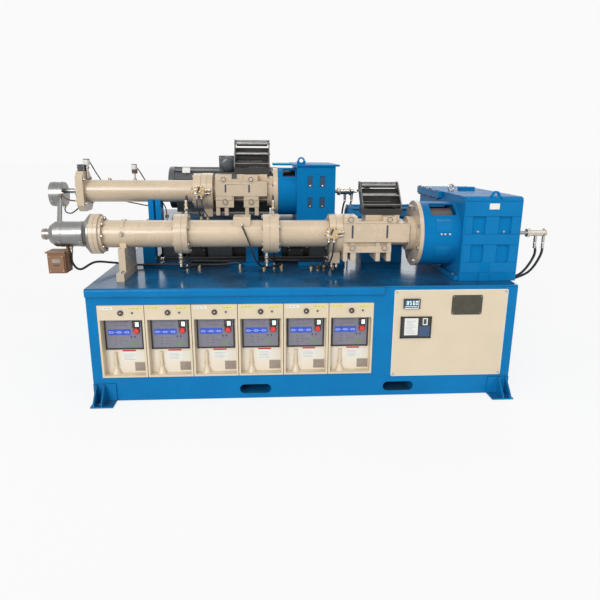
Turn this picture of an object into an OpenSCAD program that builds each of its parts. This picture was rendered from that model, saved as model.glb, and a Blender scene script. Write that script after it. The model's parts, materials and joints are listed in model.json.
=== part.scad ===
// Twin-line cold-feed rubber extruder on one base cabinet, in millimetres.
// x runs along the barrels from the heads to the gearboxes, y runs to the back, z runs up.
// The places below count from the deck's left end, the cabinet's front face and the floor.

/* [Base cabinet] */
// Length of the deck along the barrels
deck_l = 2830; // [2800:10:3000]
// Depth of the deck from front to back
deck_w = 1700; // [1660:10:1900]
// Height of the deck's top above the floor
deck_h = 778; // [760:1:860]
// Thickness of the deck plate
deck_t = 12; // [8:1:16]
// Thickness of the cabinet's walls
wall_t = 6; // [4:1:8]
// Height of the rail below the temperature units
rail_h = 168; // [160:1:180]
// Height of the deck's rounded front lip
lip_h = 60; // [50:1:70]
// Reach of the front lip forward of the cabinet
lip_out = 22; // [16:1:30]
// Length of a fork slot
fork_l = 212; // [180:1:230]
// Height of a fork slot
fork_h = 66; // [56:1:72]
// Height of a fork slot's lower edge
fork_z = 34; // [24:1:40]
// Place of the left fork slot along the deck
fork_x = 968; // [900:1:1000]
// Distance between the two fork slots
fork_pitch = 980; // [900:1:1000]

/* [Corner feet] */
// Width of an anchor bracket
foot_w = 148; // [130:1:160]
// Reach of an anchor bracket from the cabinet
foot_out = 115; // [100:1:130]
// Height of an anchor bracket
foot_h = 125; // [110:1:140]
// Thickness of its plates
foot_t = 10; // [8:1:12]
// Diameter of its anchor hole
foot_hole_d = 22; // [18:1:26]

/* [Temperature units] */
// Number of units in the row
tcu_n = 6; // [6:1:6]
// Width that each unit takes in the row
tcu_pitch = 300; // [290:1:302]
// Depth of a unit
tcu_d = 480; // [420:1:560]
// Place of the row's left edge along the deck
tcu_x = 64; // [50:1:70]
// Diameter of a unit's red push button
button_d = 36; // [30:1:40]
// Travel of the red push button
button_travel = 4; // [3:0.5:5]

/* [Control panel] */
// Width of the cream service panel
panel_w = 769; // [740:1:790]
// Height of the panel's lower edge
panel_z = 142; // [136:1:150]
// Distance from the panel to the deck's right end
panel_in = 64; // [50:1:70]

/* [Front line] */
// Distance of the front barrel's axis from the cabinet's front face
f_axis_y = 380; // [376:1:384]
// Height of the front barrel's axis above the deck
f_axis_h = 292; // [288:1:300]
// Diameter of the front screw
f_screw_d = 90; // [80:1:92]
// Diameter of the front barrel
f_barrel_d = 186; // [170:1:190]
// Diameter of the front barrel's flanges
f_flange_d = 272; // [262:1:276]
// Length of the barrel segment at the head
f_seg1_l = 608; // [590:1:630]
// Length of the vented middle segment
f_seg2_l = 597; // [570:1:620]
// Length of the segment at the feed section
f_seg3_l = 407; // [380:1:430]
// Length of the water collar
f_collar_l = 96; // [90:1:104]
// Length of the feed block
f_feed_l = 505; // [495:1:515]

/* [Front gearbox] */
// Width of the gearbox along the screw
f_gear_w = 395; // [385:1:410]
// Distance of the gearbox's front wall from the cabinet's front face
f_gear_y = 120; // [110:1:128]
// Depth of the gearbox
f_gear_l = 1080; // [1060:1:1100]
// Height of the gearbox's top above the screw's axis
f_gear_up = 260; // [256:1:280]
// Reach of the gearbox past the deck's right end
f_gear_out = 30; // [20:1:40]
// Length of the lantern neck
f_neck_l = 249; // [240:1:260]
// Diameter of the lantern neck
f_neck_d = 444; // [430:1:450]
// Diameter of the neck's cream flange
f_neck_flange_d = 458; // [452:1:466]
// Thickness of the neck's cream flange
f_neck_flange_t = 26; // [22:1:32]

/* [Rear line] */
// Distance of the rear barrel's axis from the cabinet's front face
r_axis_y = 1000; // [990:1:1010]
// Height of the rear barrel's axis above the raised frame
r_axis_h = 211; // [208:1:216]
// Height of the raised frame's top above the deck
r_rise = 327; // [310:1:340]
// Diameter of the rear screw
r_screw_d = 75; // [70:1:78]
// Diameter of the rear barrel
r_barrel_d = 168; // [156:1:172]
// Diameter of the rear barrel's end flange
r_flange_d = 272; // [262:1:276]
// Length of the rear barrel
r_barrel_l = 944; // [930:1:960]
// Length of the rear water collar
r_collar_l = 87; // [82:1:92]
// Length of the rear feed block
r_feed_l = 467; // [455:1:475]

/* [Rear gearbox] */
// Width of the rear gearbox along the screw
r_gear_w = 294; // [286:1:304]
// Distance of its front wall from the cabinet's front face
r_gear_y = 800; // [794:1:806]
// Depth of the rear gearbox
r_gear_l = 740; // [730:1:756]
// Height of its top above the screw's axis
r_gear_up = 199; // [196:1:210]
// Distance from its right wall to the deck's right end
r_gear_in = 1140; // [1120:1:1160]
// Length of the rear lantern neck
r_neck_l = 145; // [140:1:152]
// Diameter of the rear lantern neck
r_neck_d = 366; // [358:1:370]
// Diameter of the rear neck's cream flange
r_neck_flange_d = 372; // [368:1:378]
// Thickness of the rear neck's cream flange
r_neck_flange_t = 35; // [30:1:40]

/* [Gear trains] */
// Tooth size of the front output pair
f_out_m = 8; // [7.8:0.1:8]
// Tooth size of the front motor pair
f_in_m = 6; // [5.8:0.1:6]
// Tooth size of the rear output pair
r_out_m = 6; // [5.8:0.1:6]
// Tooth size of the rear motor pair
r_in_m = 5; // [4.8:0.1:5]
// Tooth size of the feed rollers' gears
feed_m = 3; // [2.9:0.05:3]

/* [Motors] */
// Diameter of the front motor
f_motor_d = 300; // [270:1:310]
// Length of the front motor
f_motor_l = 540; // [500:1:560]
// Diameter of the rear motor
r_motor_d = 350; // [320:1:356]
// Length of the rear motor
r_motor_l = 900; // [860:1:920]

/* [Hoppers] */
// Width between the front hopper's side plates
f_hopper_w = 262; // [250:1:270]
// Height of the front hopper's frame
f_hopper_h = 217; // [200:1:226]
// Width between the rear hopper's side plates
r_hopper_w = 262; // [250:1:270]
// Height of the rear hopper's frame
r_hopper_h = 262; // [240:1:270]
// Diameter of the upper guide rollers
roller_d = 40; // [34:1:44]
// Diameter of the feed rollers beside the screws
feed_roller_d = 92; // [86:1:94]

/* [Fits] */
// Radial running clearance of a shaft in its bearing
run_gap = 0.05; // [0.03:0.01:0.08]
// Clearance between pieces that pass each other
free_gap = 0.4; // [0.3:0.05:0.5]

/* [Hidden] */
$fn = 64;

// Overrun of every cut past the face that it leaves
over = 2;

// Colours
blue = "#1a74b5";
cream = "#e0c4a4";
pale_cream = "#d9cdb0";
steel = "#b9bcbd";
dark_steel = "#6d7378";
black = "#1d1d1f";
brass = "#b08d45";
motor_grey = "#5c666c";

// Levels
cab_h = deck_h - deck_t;
sub_z = deck_h + r_rise;
f_z = deck_h + f_axis_h;
r_z = sub_z + r_axis_h;
tcu_room = 110;
tcu_h = deck_h - rail_h - tcu_room;
panel_room = 27;
panel_h = deck_h - panel_z - panel_room;

// Places along the front line, worked out from the gearbox towards the head
f_gear_x = deck_l + f_gear_out - f_gear_w;
f_neck_x = f_gear_x - f_neck_l;
f_flange_x = f_neck_x - f_neck_flange_t;
f_feed_x = f_flange_x - f_feed_l;
f_collar_x = f_feed_x - f_collar_l;
f_seg3_x = f_collar_x - f_seg3_l;
f_seg2_x = f_seg3_x - f_seg2_l;
f_seg1_x = f_seg2_x - f_seg1_l;

// Places along the rear line
r_gear_x = deck_l - r_gear_in - r_gear_w;
r_neck_x = r_gear_x - r_neck_l;
r_flange_x = r_neck_x - r_neck_flange_t;
r_feed_x = r_flange_x - r_feed_l;
r_collar_x = r_feed_x - r_collar_l;
r_barrel_x = r_collar_x - r_barrel_l;

// Screws and rollers: the screw turns in the bore with a working clearance
flight_gap = 0.4;
f_bore_r = f_screw_d / 2 + flight_gap;
r_bore_r = r_screw_d / 2 + flight_gap;
feed_teeth = 32;
nip_l = feed_m * feed_teeth + free_gap;

// Head end: outlet, nose and flare
head_l = 191;
head_r = 85;
head_flare_l = 58;
head_flare_r = 136;
nose_l = 34;
nose_r = 62;
boss_l = 44;
boss_r = 36;
outlet_r = 20;
outlet_l = boss_l + nose_l;
ring_l = 20;
ring_r = 122;
f_head_flange_l = 55;
f_end_flange_l = 52;
f_mid_flange_l = 40;
f_vent_flange_l = 47;
f_feed_flange_l = 62;
f_head_x = f_seg1_x - head_flare_l - head_l;

// Rear head and its link to the front head
r_plate_l = 55;
r_plate_w = 232;
r_plate_h = 302;
r_plate_cut = 46;
r_end_flange_l = 63;
rod_l = 115;
rod_r = 19;
r_head_l = 103;
r_head_r = 92;
r_head_drop = 25;
r_head_x = r_barrel_x - rod_l - r_head_l;
link_r = 17;

// Right end of the rotary union and its rod
union_rod_l = 168;
union_rod_r = 14;
union_l = 146;
union_r = 24;
union_x = f_gear_x + f_gear_w + union_rod_l;
r_union_rod_l = 40;
r_union_l = 130;
r_union_x = r_gear_x + r_gear_w + r_union_rod_l;

// Whole part: it stands centred on its origin
mid_x = (r_head_x + union_x + union_l) / 2;
mid_y = deck_w / 2;

// Fasteners
bolt_d = 16;
bolt_gap = 0.3;
hole_r = bolt_d / 2 + bolt_gap;
hex_d = 27;
hex_h = 10;
cap_d = 24;
cap_h = 12;
small_d = 8;
small_head_d = 14;
small_head_h = 5;
small_screw_l = 3;
flange_bolts = 6;
ring_bolts = 8;
neck_bolts = 8;

// Gear trains: numbers of teeth, widths, shafts and their distances from the screws
f_out_teeth = 52;
f_out_pinion = 15;
f_in_teeth = 72;
f_in_pinion = 22;
r_out_teeth = 56;
r_out_pinion = 16;
r_in_teeth = 66;
r_in_pinion = 20;
f_mid_y = f_out_m * (f_out_teeth + f_out_pinion) / 2;
f_drive_y = f_mid_y + f_in_m * (f_in_teeth + f_in_pinion) / 2;
r_mid_y = r_out_m * (r_out_teeth + r_out_pinion) / 2;
r_drive_y = r_mid_y + r_in_m * (r_in_teeth + r_in_pinion) / 2;
quill_r = 60;
tail_r = 38;
tail_step = 56;
shank_r = 40;
mid_shaft_r = 34;
drive_shaft_r = 30;
roller_shaft_r = 16;
bear_t = 22;
f_bear_w = 40;
r_bear_w = 32;
boss_t = 14;
gear_wall = 18;
front_wall = 30;
f_out_gap = 75;
f_out_w = 100;
f_in_gap = 60;
f_in_w = 64;
r_out_gap = 56;
r_out_w = 78;
r_in_gap = 40;
r_in_w = 52;
f_out_x = f_gear_x + f_out_gap;
f_in_x = f_out_x + f_out_w + f_in_gap;
r_out_x = r_gear_x + r_out_gap;
r_in_x = r_out_x + r_out_w + r_in_gap;
f_gear_end = f_gear_x + f_gear_w;
r_gear_end = r_gear_x + r_gear_w;
socket_l = 110;
quill_out = 14;
feed_gear_gap = 10;
feed_gear_w = 24;
f_bell_l = 125;
r_bell_l = 146;
f_motor_x = f_gear_x - f_bell_l - f_motor_l;
r_motor_x = r_gear_x - r_bell_l - r_motor_l;
motor_foot_h = 20;
cap_l = 60;
rotor_gap = 8;

// Lays a piece out along x on the front or the rear screw's axis
module front(x = 0) { translate([x, f_axis_y, f_z]) children(); }
module rear(x = 0) { translate([x, r_axis_y, r_z]) children(); }

// A disc or rod whose axis runs along x, from x onwards
module disc(r, l, x = 0, y = 0, z = 0) {
  translate([x, y, z]) rotate([0, 90, 0]) cylinder(r = r, h = l);
}

// A cut right through a piece that starts at x = 0
module bore(r, l) { disc(r, l + 2 * over, -over); }

// A cone along x
module flare(r1, r2, l, x = 0) {
  translate([x, 0, 0]) rotate([0, 90, 0]) cylinder(r1 = r1, r2 = r2, h = l);
}

// Copies spaced evenly round the x axis, at a radius
module round_x(n, r, turn = 0) {
  for (i = [0 : n - 1]) rotate([turn + i * 360 / n, 0, 0]) translate([0, 0, r]) children();
}

// A block given by its low corner and its size
module block(x, y, z, l, w, h) { translate([x, y, z]) cube([l, w, h]); }

// A rectangle with round corners, in the plane
module round_rect(w, h, r) {
  translate([r, 0]) square([w - 2 * r, h]);
  translate([0, r]) square([w, h - 2 * r]);
  for (x = [r, w - r], y = [r, h - r]) translate([x, y]) circle(r = r);
}

// A screw's body: a core with two flights that wind round it
flight_share = 0.055;
module screw_flights(d, l, pitch, core_share) {
  core = d / 2 * core_share;
  half_w = d * flight_share;
  tip = sqrt(d * d / 4 - half_w * half_w);
  // A turn takes ten steps
  steps = ceil(l / pitch * 10);
  side = [for (a = [45 : 45 : 135]) core * [cos(a), sin(a)]];
  outline = concat([[core, -half_w], [tip, -half_w], [tip, half_w], [core, half_w]], side,
    [[-core, half_w], [-tip, half_w], [-tip, -half_w], [-core, -half_w]], -side);
  rotate([0, 90, 0]) linear_extrude(height = l, twist = -360 * l / pitch, slices = steps,
    segments = len(outline)) polygon(outline);
}

// Spur gear teeth: straight flanks in shares of the tooth size and of the tooth's pitch
add_share = 0.75;
ded_share = 1.1;
tip_share = 0.18;
flank_share = 0.40;
root_share = 0.58;
function tooth(m, n, i) = [
  for (p = [[-ded_share, -root_share], [0, -flank_share], [add_share, -tip_share],
       [add_share, tip_share], [0, flank_share], [-ded_share, root_share]])
    let (r = m * n / 2 + p[0] * m, a = (i + p[1] / 2) * 360 / n) [r * cos(a), r * sin(a)]];
module gear(m, n, w, turn = 0) {
  rotate([0, 90, 0]) rotate(turn) linear_extrude(height = w)
    polygon([for (i = [0 : n - 1]) each tooth(m, n, i)]);
}

// A smooth route through chosen points, and rings carried along it without twist
function unit(v) = v / norm(v);
function spline(a, b, c, d, t) = 0.5 * (2 * b + (c - a) * t + (2 * a - 5 * b + 4 * c - d) * t * t
  + (3 * b - a - 3 * c + d) * t * t * t);
function route(p, n) = let (k = len(p) - 1) concat([for (i = [0 : k - 1], j = [0 : n - 1])
  spline(p[max(i - 1, 0)], p[i], p[i + 1], p[min(i + 2, k)], j / n)], [p[k]]);
function heading(c, i, t0, t1) = i == 0 ? t0 : i == len(c) - 1 ? t1 : unit(c[i + 1] - c[i - 1]);
function carried(n, t) = unit(n - (n * t) * t);
module tube(p, d, start, finish, n = 4) {
  // Both ends run straight for one diameter
  k = len(p) - 1;
  inner = [for (i = [1 : k - 1]) p[i]];
  c = concat([p[0]], route(concat([p[0] + start * d], inner, [p[k] - finish * d]), n), [p[k]]);
  sides = 8;
  last = len(c) - 1;
  // The first side vector is square to the start and leans as little as it can
  first = abs(start[1]) < 0.9 ? [0, 1, 0] : [1, 0, 0];
  heads = [for (i = [0 : last]) heading(c, i, start, finish)];
  sidev = [for (i = 0, v = carried(first, heads[0]); i <= last;
    i = i + 1, v = i <= last ? carried(v, heads[i]) : v) v];
  points = [for (i = [0 : last], s = [0 : sides - 1]) c[i] + d / 2 * (cos(s * 360 / sides) * sidev[i]
      + sin(s * 360 / sides) * cross(heads[i], sidev[i]))];
  walls = [for (i = [0 : last - 1], s = [0 : sides - 1])
    let (a = i * sides + s, b = i * sides + (s + 1) % sides) [a, a + sides, b + sides, b]];
  ends = [[for (s = [0 : sides - 1]) s], [for (s = [sides - 1 : -1 : 0]) last * sides + s]];
  polyhedron(points = points, faces = concat(walls, ends), convexity = 6);
}

// Base cabinet: sheet box with fork tubes, a shelf for the units, a divider and deck beams
bay_l = tcu_n * tcu_pitch;
bay_right = tcu_x + bay_l;
panel_x = deck_l - panel_in - panel_w;
panel_rim = 14;
divider_x = (bay_right + panel_x) / 2;
shelf_back = 60;
beam_w = 60;
beam_h = 70;
beam_ys = [f_axis_y - beam_w / 2, r_axis_y - beam_w / 2, deck_w - 3 * beam_w];
vent_l = 130;
vent_h = 12;
vent_pitch = 30;
vent_rows = 8;
vent_z = 300;
module obround(l, h) {
  translate([h / 2, 0]) square([l - h, h]);
  for (x = [h / 2, l - h / 2]) translate([x, h / 2]) circle(r = h / 2);
}
module through_y(x, y0, y1, z) {
  translate([x, y1, z]) rotate([90, 0, 0]) linear_extrude(height = y1 - y0) children();
}
module vents(x, y, l, w) {
  for (i = [0 : vent_rows - 1]) block(x, y, vent_z + i * vent_pitch, l, w, vent_h);
}
module cabinet() color(blue) difference() {
  union() {
    difference() {
      block(0, 0, 0, deck_l, deck_w, cab_h);
      block(wall_t, wall_t, wall_t, deck_l - 2 * wall_t, deck_w - 2 * wall_t, cab_h);
      block(tcu_x, -over, rail_h, bay_l, wall_t + 2 * over, tcu_h);
      block(panel_x + panel_rim, -over, panel_z + panel_rim, panel_w - 2 * panel_rim,
        wall_t + 2 * over, panel_h - 2 * panel_rim);
      for (x = [deck_l * 0.15, deck_l * 0.45, deck_l * 0.75])
        vents(x, deck_w - wall_t - over, vent_l * 2, wall_t + 2 * over);
      vents(-over, deck_w * 0.55, wall_t + 2 * over, vent_l);
    }
    for (i = [0, 1]) through_y(fork_x + i * fork_pitch - wall_t, wall_t / 2,
      deck_w - wall_t / 2, fork_z - wall_t) obround(fork_l + 2 * wall_t, fork_h + 2 * wall_t);
    block(wall_t / 2, wall_t / 2, rail_h - wall_t, divider_x, tcu_d + shelf_back, wall_t);
    block(divider_x, wall_t / 2, wall_t / 2, wall_t, deck_w - wall_t, cab_h - wall_t / 2);
    for (y = beam_ys) block(wall_t / 2, y, cab_h - beam_h, deck_l - wall_t, beam_w, beam_h);
  }
  for (i = [0, 1]) through_y(fork_x + i * fork_pitch, -over, deck_w + over, fork_z)
    obround(fork_l, fork_h);
  panel_corners() translate([0, 0, -small_screw_l - over])
    cylinder(d = small_d + 2 * bolt_gap, h = small_screw_l + 2 * over);
}

// Deck plate with its rounded lip and the plinth of the front motor
lip_r = 18;
lip_l = divider_x;
plinth_l = f_motor_l * 0.6;
plinth_w = f_motor_d * 0.9;
plinth_h = f_axis_h - f_motor_d / 2 - motor_foot_h;
module deck() color(blue) {
  block(0, 0, cab_h, deck_l, deck_w, deck_t);
  translate([0, 0, deck_h - lip_h]) rotate([90, 0, 90]) linear_extrude(height = lip_l)
    translate([-lip_out, 0]) intersection() {
      round_rect(2 * lip_out, lip_h, lip_r);
      square([lip_out, lip_h]);
    }
  block(f_motor_x + f_motor_l / 2 - plinth_l / 2, f_axis_y + f_drive_y - plinth_w / 2, deck_h,
    plinth_l, plinth_w, plinth_h);
}

// Corner feet: anchor brackets with two gussets, against the cabinet's front and back
gusset_shares = [0.12, 0.46];
hole_share = 0.32;
foot_hole_x = foot_w * hole_share;
foot_hole_y = foot_out * 0.58;
module foot_bracket() difference() {
  union() {
    block(0, -foot_out, 0, foot_w, foot_out, foot_t);
    block(0, -foot_t, 0, foot_w, foot_t, foot_h);
    for (s = gusset_shares) translate([foot_w * s, 0, 0]) rotate([90, 0, 90])
      linear_extrude(height = foot_t) polygon([[0, 0], [-foot_out, 0], [-foot_out, foot_h / 4],
        [-foot_t * 2, foot_h], [0, foot_h]]);
  }
  translate([foot_hole_x, -foot_hole_y, -over]) cylinder(d = foot_hole_d, h = foot_t + 2 * over);
}
module corner_feet() color(blue) for (left = [0, 1], front = [0, 1])
  translate([left * deck_l, front * deck_w, 0]) mirror([left, 0, 0]) mirror([0, front, 0])
    foot_bracket();

// Raised frame of the rear line: top plate, rails, columns on foot plates and barrel saddle
sub_l = 1530;
sub_out = 70;
sub_x = r_gear_end + sub_out - sub_l;
sub_y = 700;
sub_w = deck_w - sub_y - 40;
sub_t = 20;
col_w = 92;
col_wall = 8;
sub_foot_l = 357;
sub_foot_w = 152;
sub_foot_t = 25;
rail_w = 40;
rail_drop = 70;
saddle_in = 10;
saddle_x = sub_x + saddle_in;
saddle_l = 97;
saddle_w = 120;
seat_gap = 0.3;
col_xs = [sub_x, sub_x + sub_l * 0.505, sub_x + sub_l - col_w];
col_ys = [sub_y, sub_y + sub_w - col_w];
module rear_sub_base() color(blue) {
  difference() {
    union() {
      block(sub_x, sub_y, sub_z - sub_t, sub_l, sub_w, sub_t);
      for (y = [sub_y, sub_y + sub_w - rail_w])
        block(sub_x, y, sub_z - sub_t - rail_drop, sub_l, rail_w, rail_drop);
      for (x = col_xs, y = col_ys) {
        block(x, y, deck_h + sub_foot_t, col_w, col_w, r_rise - sub_foot_t - sub_t);
        block(min(max(x + col_w / 2 - sub_foot_l / 2, sub_x), sub_x + sub_l - sub_foot_l),
          min(y + col_w / 2 - sub_foot_w / 2, deck_w - sub_foot_w), deck_h,
          sub_foot_l, sub_foot_w, sub_foot_t);
      }
      block(saddle_x, r_axis_y - saddle_w / 2, sub_z, saddle_l, saddle_w, r_axis_h);
    }
    rear(saddle_x) bore(r_barrel_d / 2 + seat_gap, saddle_l);
    block(saddle_x + saddle_l * 0.42, r_axis_y - saddle_w / 2 - over, sub_z, saddle_l * 0.16,
      saddle_w / 4, r_axis_h);
  }
}

// Temperature units: casings, fronts with a recessed field, key panels, gauges, tank and pump
tcu_gap = 2;
tcu_w = tcu_pitch - 2 * tcu_gap;
tcu_hh = tcu_h - tcu_gap;
front_out = 5;
front_in = 50;
front_t = 4;
rim_w = 13;
rim_low = 12;
field_top = 0.80 * tcu_hh;
ledge_h = 2;
casing_t = 4;
pipe_d = 19;
pipe_top = 0.33 * tcu_hh;
pipe_low = 0.13 * tcu_hh;
funnel_d = 62;
key_w = 0.84 * tcu_w;
key_x = (tcu_w - key_w) / 2;
key_z = 0.365 * tcu_hh;
key_h = 0.43 * tcu_hh;
key_frame = 9;
key_out = 10;
key_back = 6;
button_x = key_x + 0.83 * key_w;
button_z = key_z + 0.60 * key_h;
display_w = 48;
display_x = button_x - display_w / 2;
display_z = button_z + button_d / 2 + 6 * free_gap;
display_out = 6;
gauge_r = 17;
gauge_t = 9;
knob_r = 6;
plate_w = 0.27 * tcu_w;
plate_h = 0.13 * tcu_hh;
plate_t = 1.5;
module each_tcu() { for (i = [0 : tcu_n - 1]) one_tcu(i) children(); }
module one_tcu(i) { translate([tcu_x + i * tcu_pitch + tcu_gap, 0, rail_h]) children(); }
module tcu_casings() color(pale_cream) each_tcu() difference() {
  block(0, front_in + front_t, 0, tcu_w, tcu_d - front_in - front_t, tcu_hh);
  block(casing_t, front_in + front_t - over, casing_t, tcu_w - 2 * casing_t,
    tcu_d - front_in - front_t - casing_t + over, tcu_hh - 2 * casing_t);
}
module tcu_fronts() color(pale_cream) each_tcu() {
  difference() {
    block(0, -front_out, 0, tcu_w, front_out + front_in + front_t, tcu_hh);
    // The recessed field, its sloping upper ledge, and the hollow behind the upper strip
    block(rim_w, -front_out - over, rim_low, tcu_w - 2 * rim_w, front_out + front_in + over,
      field_top - ledge_h - rim_low);
    translate([rim_w, 0, 0]) rotate([90, 0, 90]) linear_extrude(height = tcu_w - 2 * rim_w)
      polygon([[-front_out - over, field_top - ledge_h - over],
        [front_in, field_top - ledge_h - over], [front_in, field_top - ledge_h],
        [-front_out - over, field_top]]);
    block(rim_w, -front_out + front_t, field_top + 2 * front_t, tcu_w - 2 * rim_w,
      front_in + 2 * front_t, tcu_hh - field_top - 3 * front_t);
  }
  // Filler pipe with its funnel, and a blank plate
  translate([0.28 * tcu_w, front_in - pipe_d / 2, pipe_low]) {
    cylinder(d = pipe_d, h = pipe_top - pipe_low);
    rotate([180, 0, 0]) cylinder(d1 = pipe_d, d2 = funnel_d, h = pipe_low - rim_low);
  }
  block(tcu_w - rim_w - plate_w, front_in - plate_t, rim_low + rim_low, plate_w, plate_t, plate_h);
}
module tcu_controllers() color(dark_steel) each_tcu() {
  difference() {
    block(key_x, front_in - key_out, key_z, key_w, key_out, key_h);
    block(key_x + key_frame, front_in - key_out - over, key_z + key_frame,
      key_w - 2 * key_frame, over + key_out - key_back, key_h - 2 * key_frame);
    translate([button_x, front_in + over, button_z]) rotate([90, 0, 0])
      cylinder(d = button_d + 2 * free_gap, h = key_out + 2 * over);
  }
  block(display_x, front_in - key_back - display_out, display_z, display_w, display_out, display_w);
}
button_cap_l = 12;
module tcu_button(i) color("#c8313a") one_tcu(i)
  translate([button_x, front_in - free_gap - button_travel, button_z]) rotate([90, 0, 0])
    cylinder(d = button_d, h = button_cap_l);

// Service panel and its instruments
panel_t = 4;
panel_r = 10;
screw_in = 16;
meter_l = 105;
meter_h = 63;
meter_out = 12;
window_l = 209;
window_h = 150;
window_out = 10;
plate_l = 208;
plate_r = 14;
panel_plate_h = 136;
panel_plate_t = 3;
module on_panel(x, z) { translate([panel_x + x * panel_w, -panel_t, panel_z + z * panel_h]) children(); }
module upright(l, h, t, r) { rotate([90, 0, 0]) linear_extrude(height = t) round_rect(l, h, r); }
module panel_corners() {
  for (x = [screw_in, panel_w - screw_in], z = [screw_in, panel_h - screw_in])
    translate([panel_x + x, 0, panel_z + z]) rotate([90, 0, 0]) children();
}
module control_panel() color(pale_cream) difference() {
  translate([panel_x, 0, panel_z]) upright(panel_w, panel_h, panel_t, panel_r);
  translate([0, over, 0]) panel_corners() cylinder(d = small_d + 2 * bolt_gap, h = panel_t + 2 * over);
}

// Sensors on the rear head plate and the rear barrel
sensor_box = [55, 70, 50];
stem_r = 9;
stem_l = 60;
sensor_cap_r = 24;
sensor_cap_l = 44;
probe_in = 424;
probe_x = r_barrel_x + probe_in;
probe_r = 7;
probe_l = 50;
probe_cap_r = 21;
probe_cap_l = 70;
module instruments() color(black) {
  each_tcu() {
    translate([tcu_w / 2, -front_out, (field_top + tcu_hh) / 2]) rotate([90, 0, 0])
      cylinder(r = gauge_r, h = gauge_t);
    translate([tcu_w * 0.75, -front_out, (field_top + tcu_hh) / 2]) rotate([90, 0, 0])
      cylinder(r = knob_r, h = gauge_t);
  }
  on_panel(0.085, 0.794) upright(meter_l, meter_h, meter_out, panel_t);
  on_panel(0.064, 0.452) upright(window_l, window_h, window_out, panel_t);
  on_panel(0.506, 0.714) upright(plate_l, panel_plate_h, panel_plate_t, plate_r);
  rear(r_barrel_x) {
    block(0, -sensor_box[1] / 2, r_plate_h / 2, sensor_box[0], sensor_box[1], sensor_box[2]);
    translate([r_plate_l + stem_r + seat_gap, 0, 0]) {
      translate([0, 0, r_barrel_d / 2 + seat_gap]) cylinder(r = stem_r, h = stem_l * 1.9);
      translate([0, 0, r_barrel_d / 2 + seat_gap + stem_l * 1.9])
        cylinder(r = sensor_cap_r, h = sensor_cap_l);
    }
  }
  translate([probe_x, r_axis_y, r_z + r_barrel_d / 2 + seat_gap]) {
    cylinder(r = probe_r, h = probe_l);
    translate([0, 0, probe_l]) cylinder(r = probe_cap_r, h = probe_cap_l);
  }
}

// Barrels: tubes with end flanges round the screw's bore
f_pcd_r = f_flange_d / 2 - hex_d * 0.8;
module flange_bolt_holes(l, x, n, r, turn = 0) {
  round_x(n, r, turn) disc(hole_r, l + 2 * over, x - over);
}
module barrel(l, d, bore_r, left_l, left_r, right_l, right_r) difference() {
  union() {
    disc(left_r, left_l);
    disc(d / 2, l);
    disc(right_r, right_l, l - right_l);
  }
  bore(bore_r, l);
}
f_flange_r = f_flange_d / 2;
module front_barrel_1() color(cream) front(f_seg1_x) difference() {
  union() {
    barrel(f_seg1_l, f_barrel_d, f_bore_r, f_head_flange_l, f_flange_r, f_end_flange_l, f_flange_r);
    difference() {
      disc(ring_r, ring_l, f_head_flange_l);
      disc(f_bore_r, ring_l + 2 * over, f_head_flange_l - over);
    }
  }
  flange_bolt_holes(f_head_flange_l + ring_l, 0, ring_bolts, ring_pcd_r);
  flange_bolt_holes(f_end_flange_l, f_seg1_l - f_end_flange_l, flange_bolts, f_pcd_r);
}
vent_x = f_seg2_l * 0.585;
vent_block_l = 116;
vent_block_w = 150;
vent_up = 124;
vent_bore_r = 16;
module front_barrel_2() color(cream) front(f_seg2_x) difference() {
  barrel(f_seg2_l, f_barrel_d, f_bore_r, f_mid_flange_l, f_flange_r, f_vent_flange_l, f_flange_r);
  flange_bolt_holes(f_mid_flange_l, 0, flange_bolts, f_pcd_r);
  flange_bolt_holes(f_vent_flange_l, f_seg2_l - f_vent_flange_l, flange_bolts, f_pcd_r);
  translate([vent_x + vent_block_l / 2, 0, 0]) cylinder(r = vent_bore_r, h = f_barrel_d);
}
module front_barrel_3() color(cream) front(f_seg3_x) difference() {
  barrel(f_seg3_l, f_barrel_d, f_bore_r, f_feed_flange_l, f_flange_r, over, f_barrel_d / 2);
  flange_bolt_holes(f_feed_flange_l, 0, flange_bolts, f_pcd_r);
}
vent_low = 20;
module vent_block() color(cream) front(f_seg2_x + vent_x) difference() {
  block(0, -vent_block_w / 2, vent_low, vent_block_l, vent_block_w, vent_up - vent_low);
  bore(f_barrel_d / 2 + seat_gap, vent_block_l);
  translate([vent_block_l / 2, 0, 0]) cylinder(r = vent_bore_r, h = vent_up + over);
}
r_pcd_r = r_flange_d / 2 - hex_d * 0.8;
module rear_plate_outline() {
  w = r_plate_w / 2;
  h = r_plate_h / 2;
  c = r_plate_cut;
  polygon([[-h, -w + c], [-h + c, -w], [h - c, -w], [h, -w + c], [h, w - c], [h - c, w],
    [-h + c, w], [-h, w - c]]);
}
plate_bolt_y = r_plate_w / 2 - hex_d;
plate_bolt_z = r_plate_h / 2 - r_plate_cut - hex_d / 2;
module plate_bolts() {
  for (y = [-plate_bolt_y, plate_bolt_y], z = [-plate_bolt_z, plate_bolt_z])
    translate([0, y, z]) children();
}
module rear_barrel() color(cream) rear(r_barrel_x) difference() {
  union() {
    rotate([0, 90, 0]) linear_extrude(height = r_plate_l) rear_plate_outline();
    disc(r_barrel_d / 2, r_barrel_l);
    disc(r_flange_d / 2, r_end_flange_l, r_barrel_l - r_end_flange_l);
  }
  bore(r_bore_r, r_barrel_l);
  plate_bolts() bore(hole_r, r_plate_l);
  flange_bolt_holes(r_end_flange_l, r_barrel_l - r_end_flange_l, flange_bolts, r_pcd_r, collar_turn);
}

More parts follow.
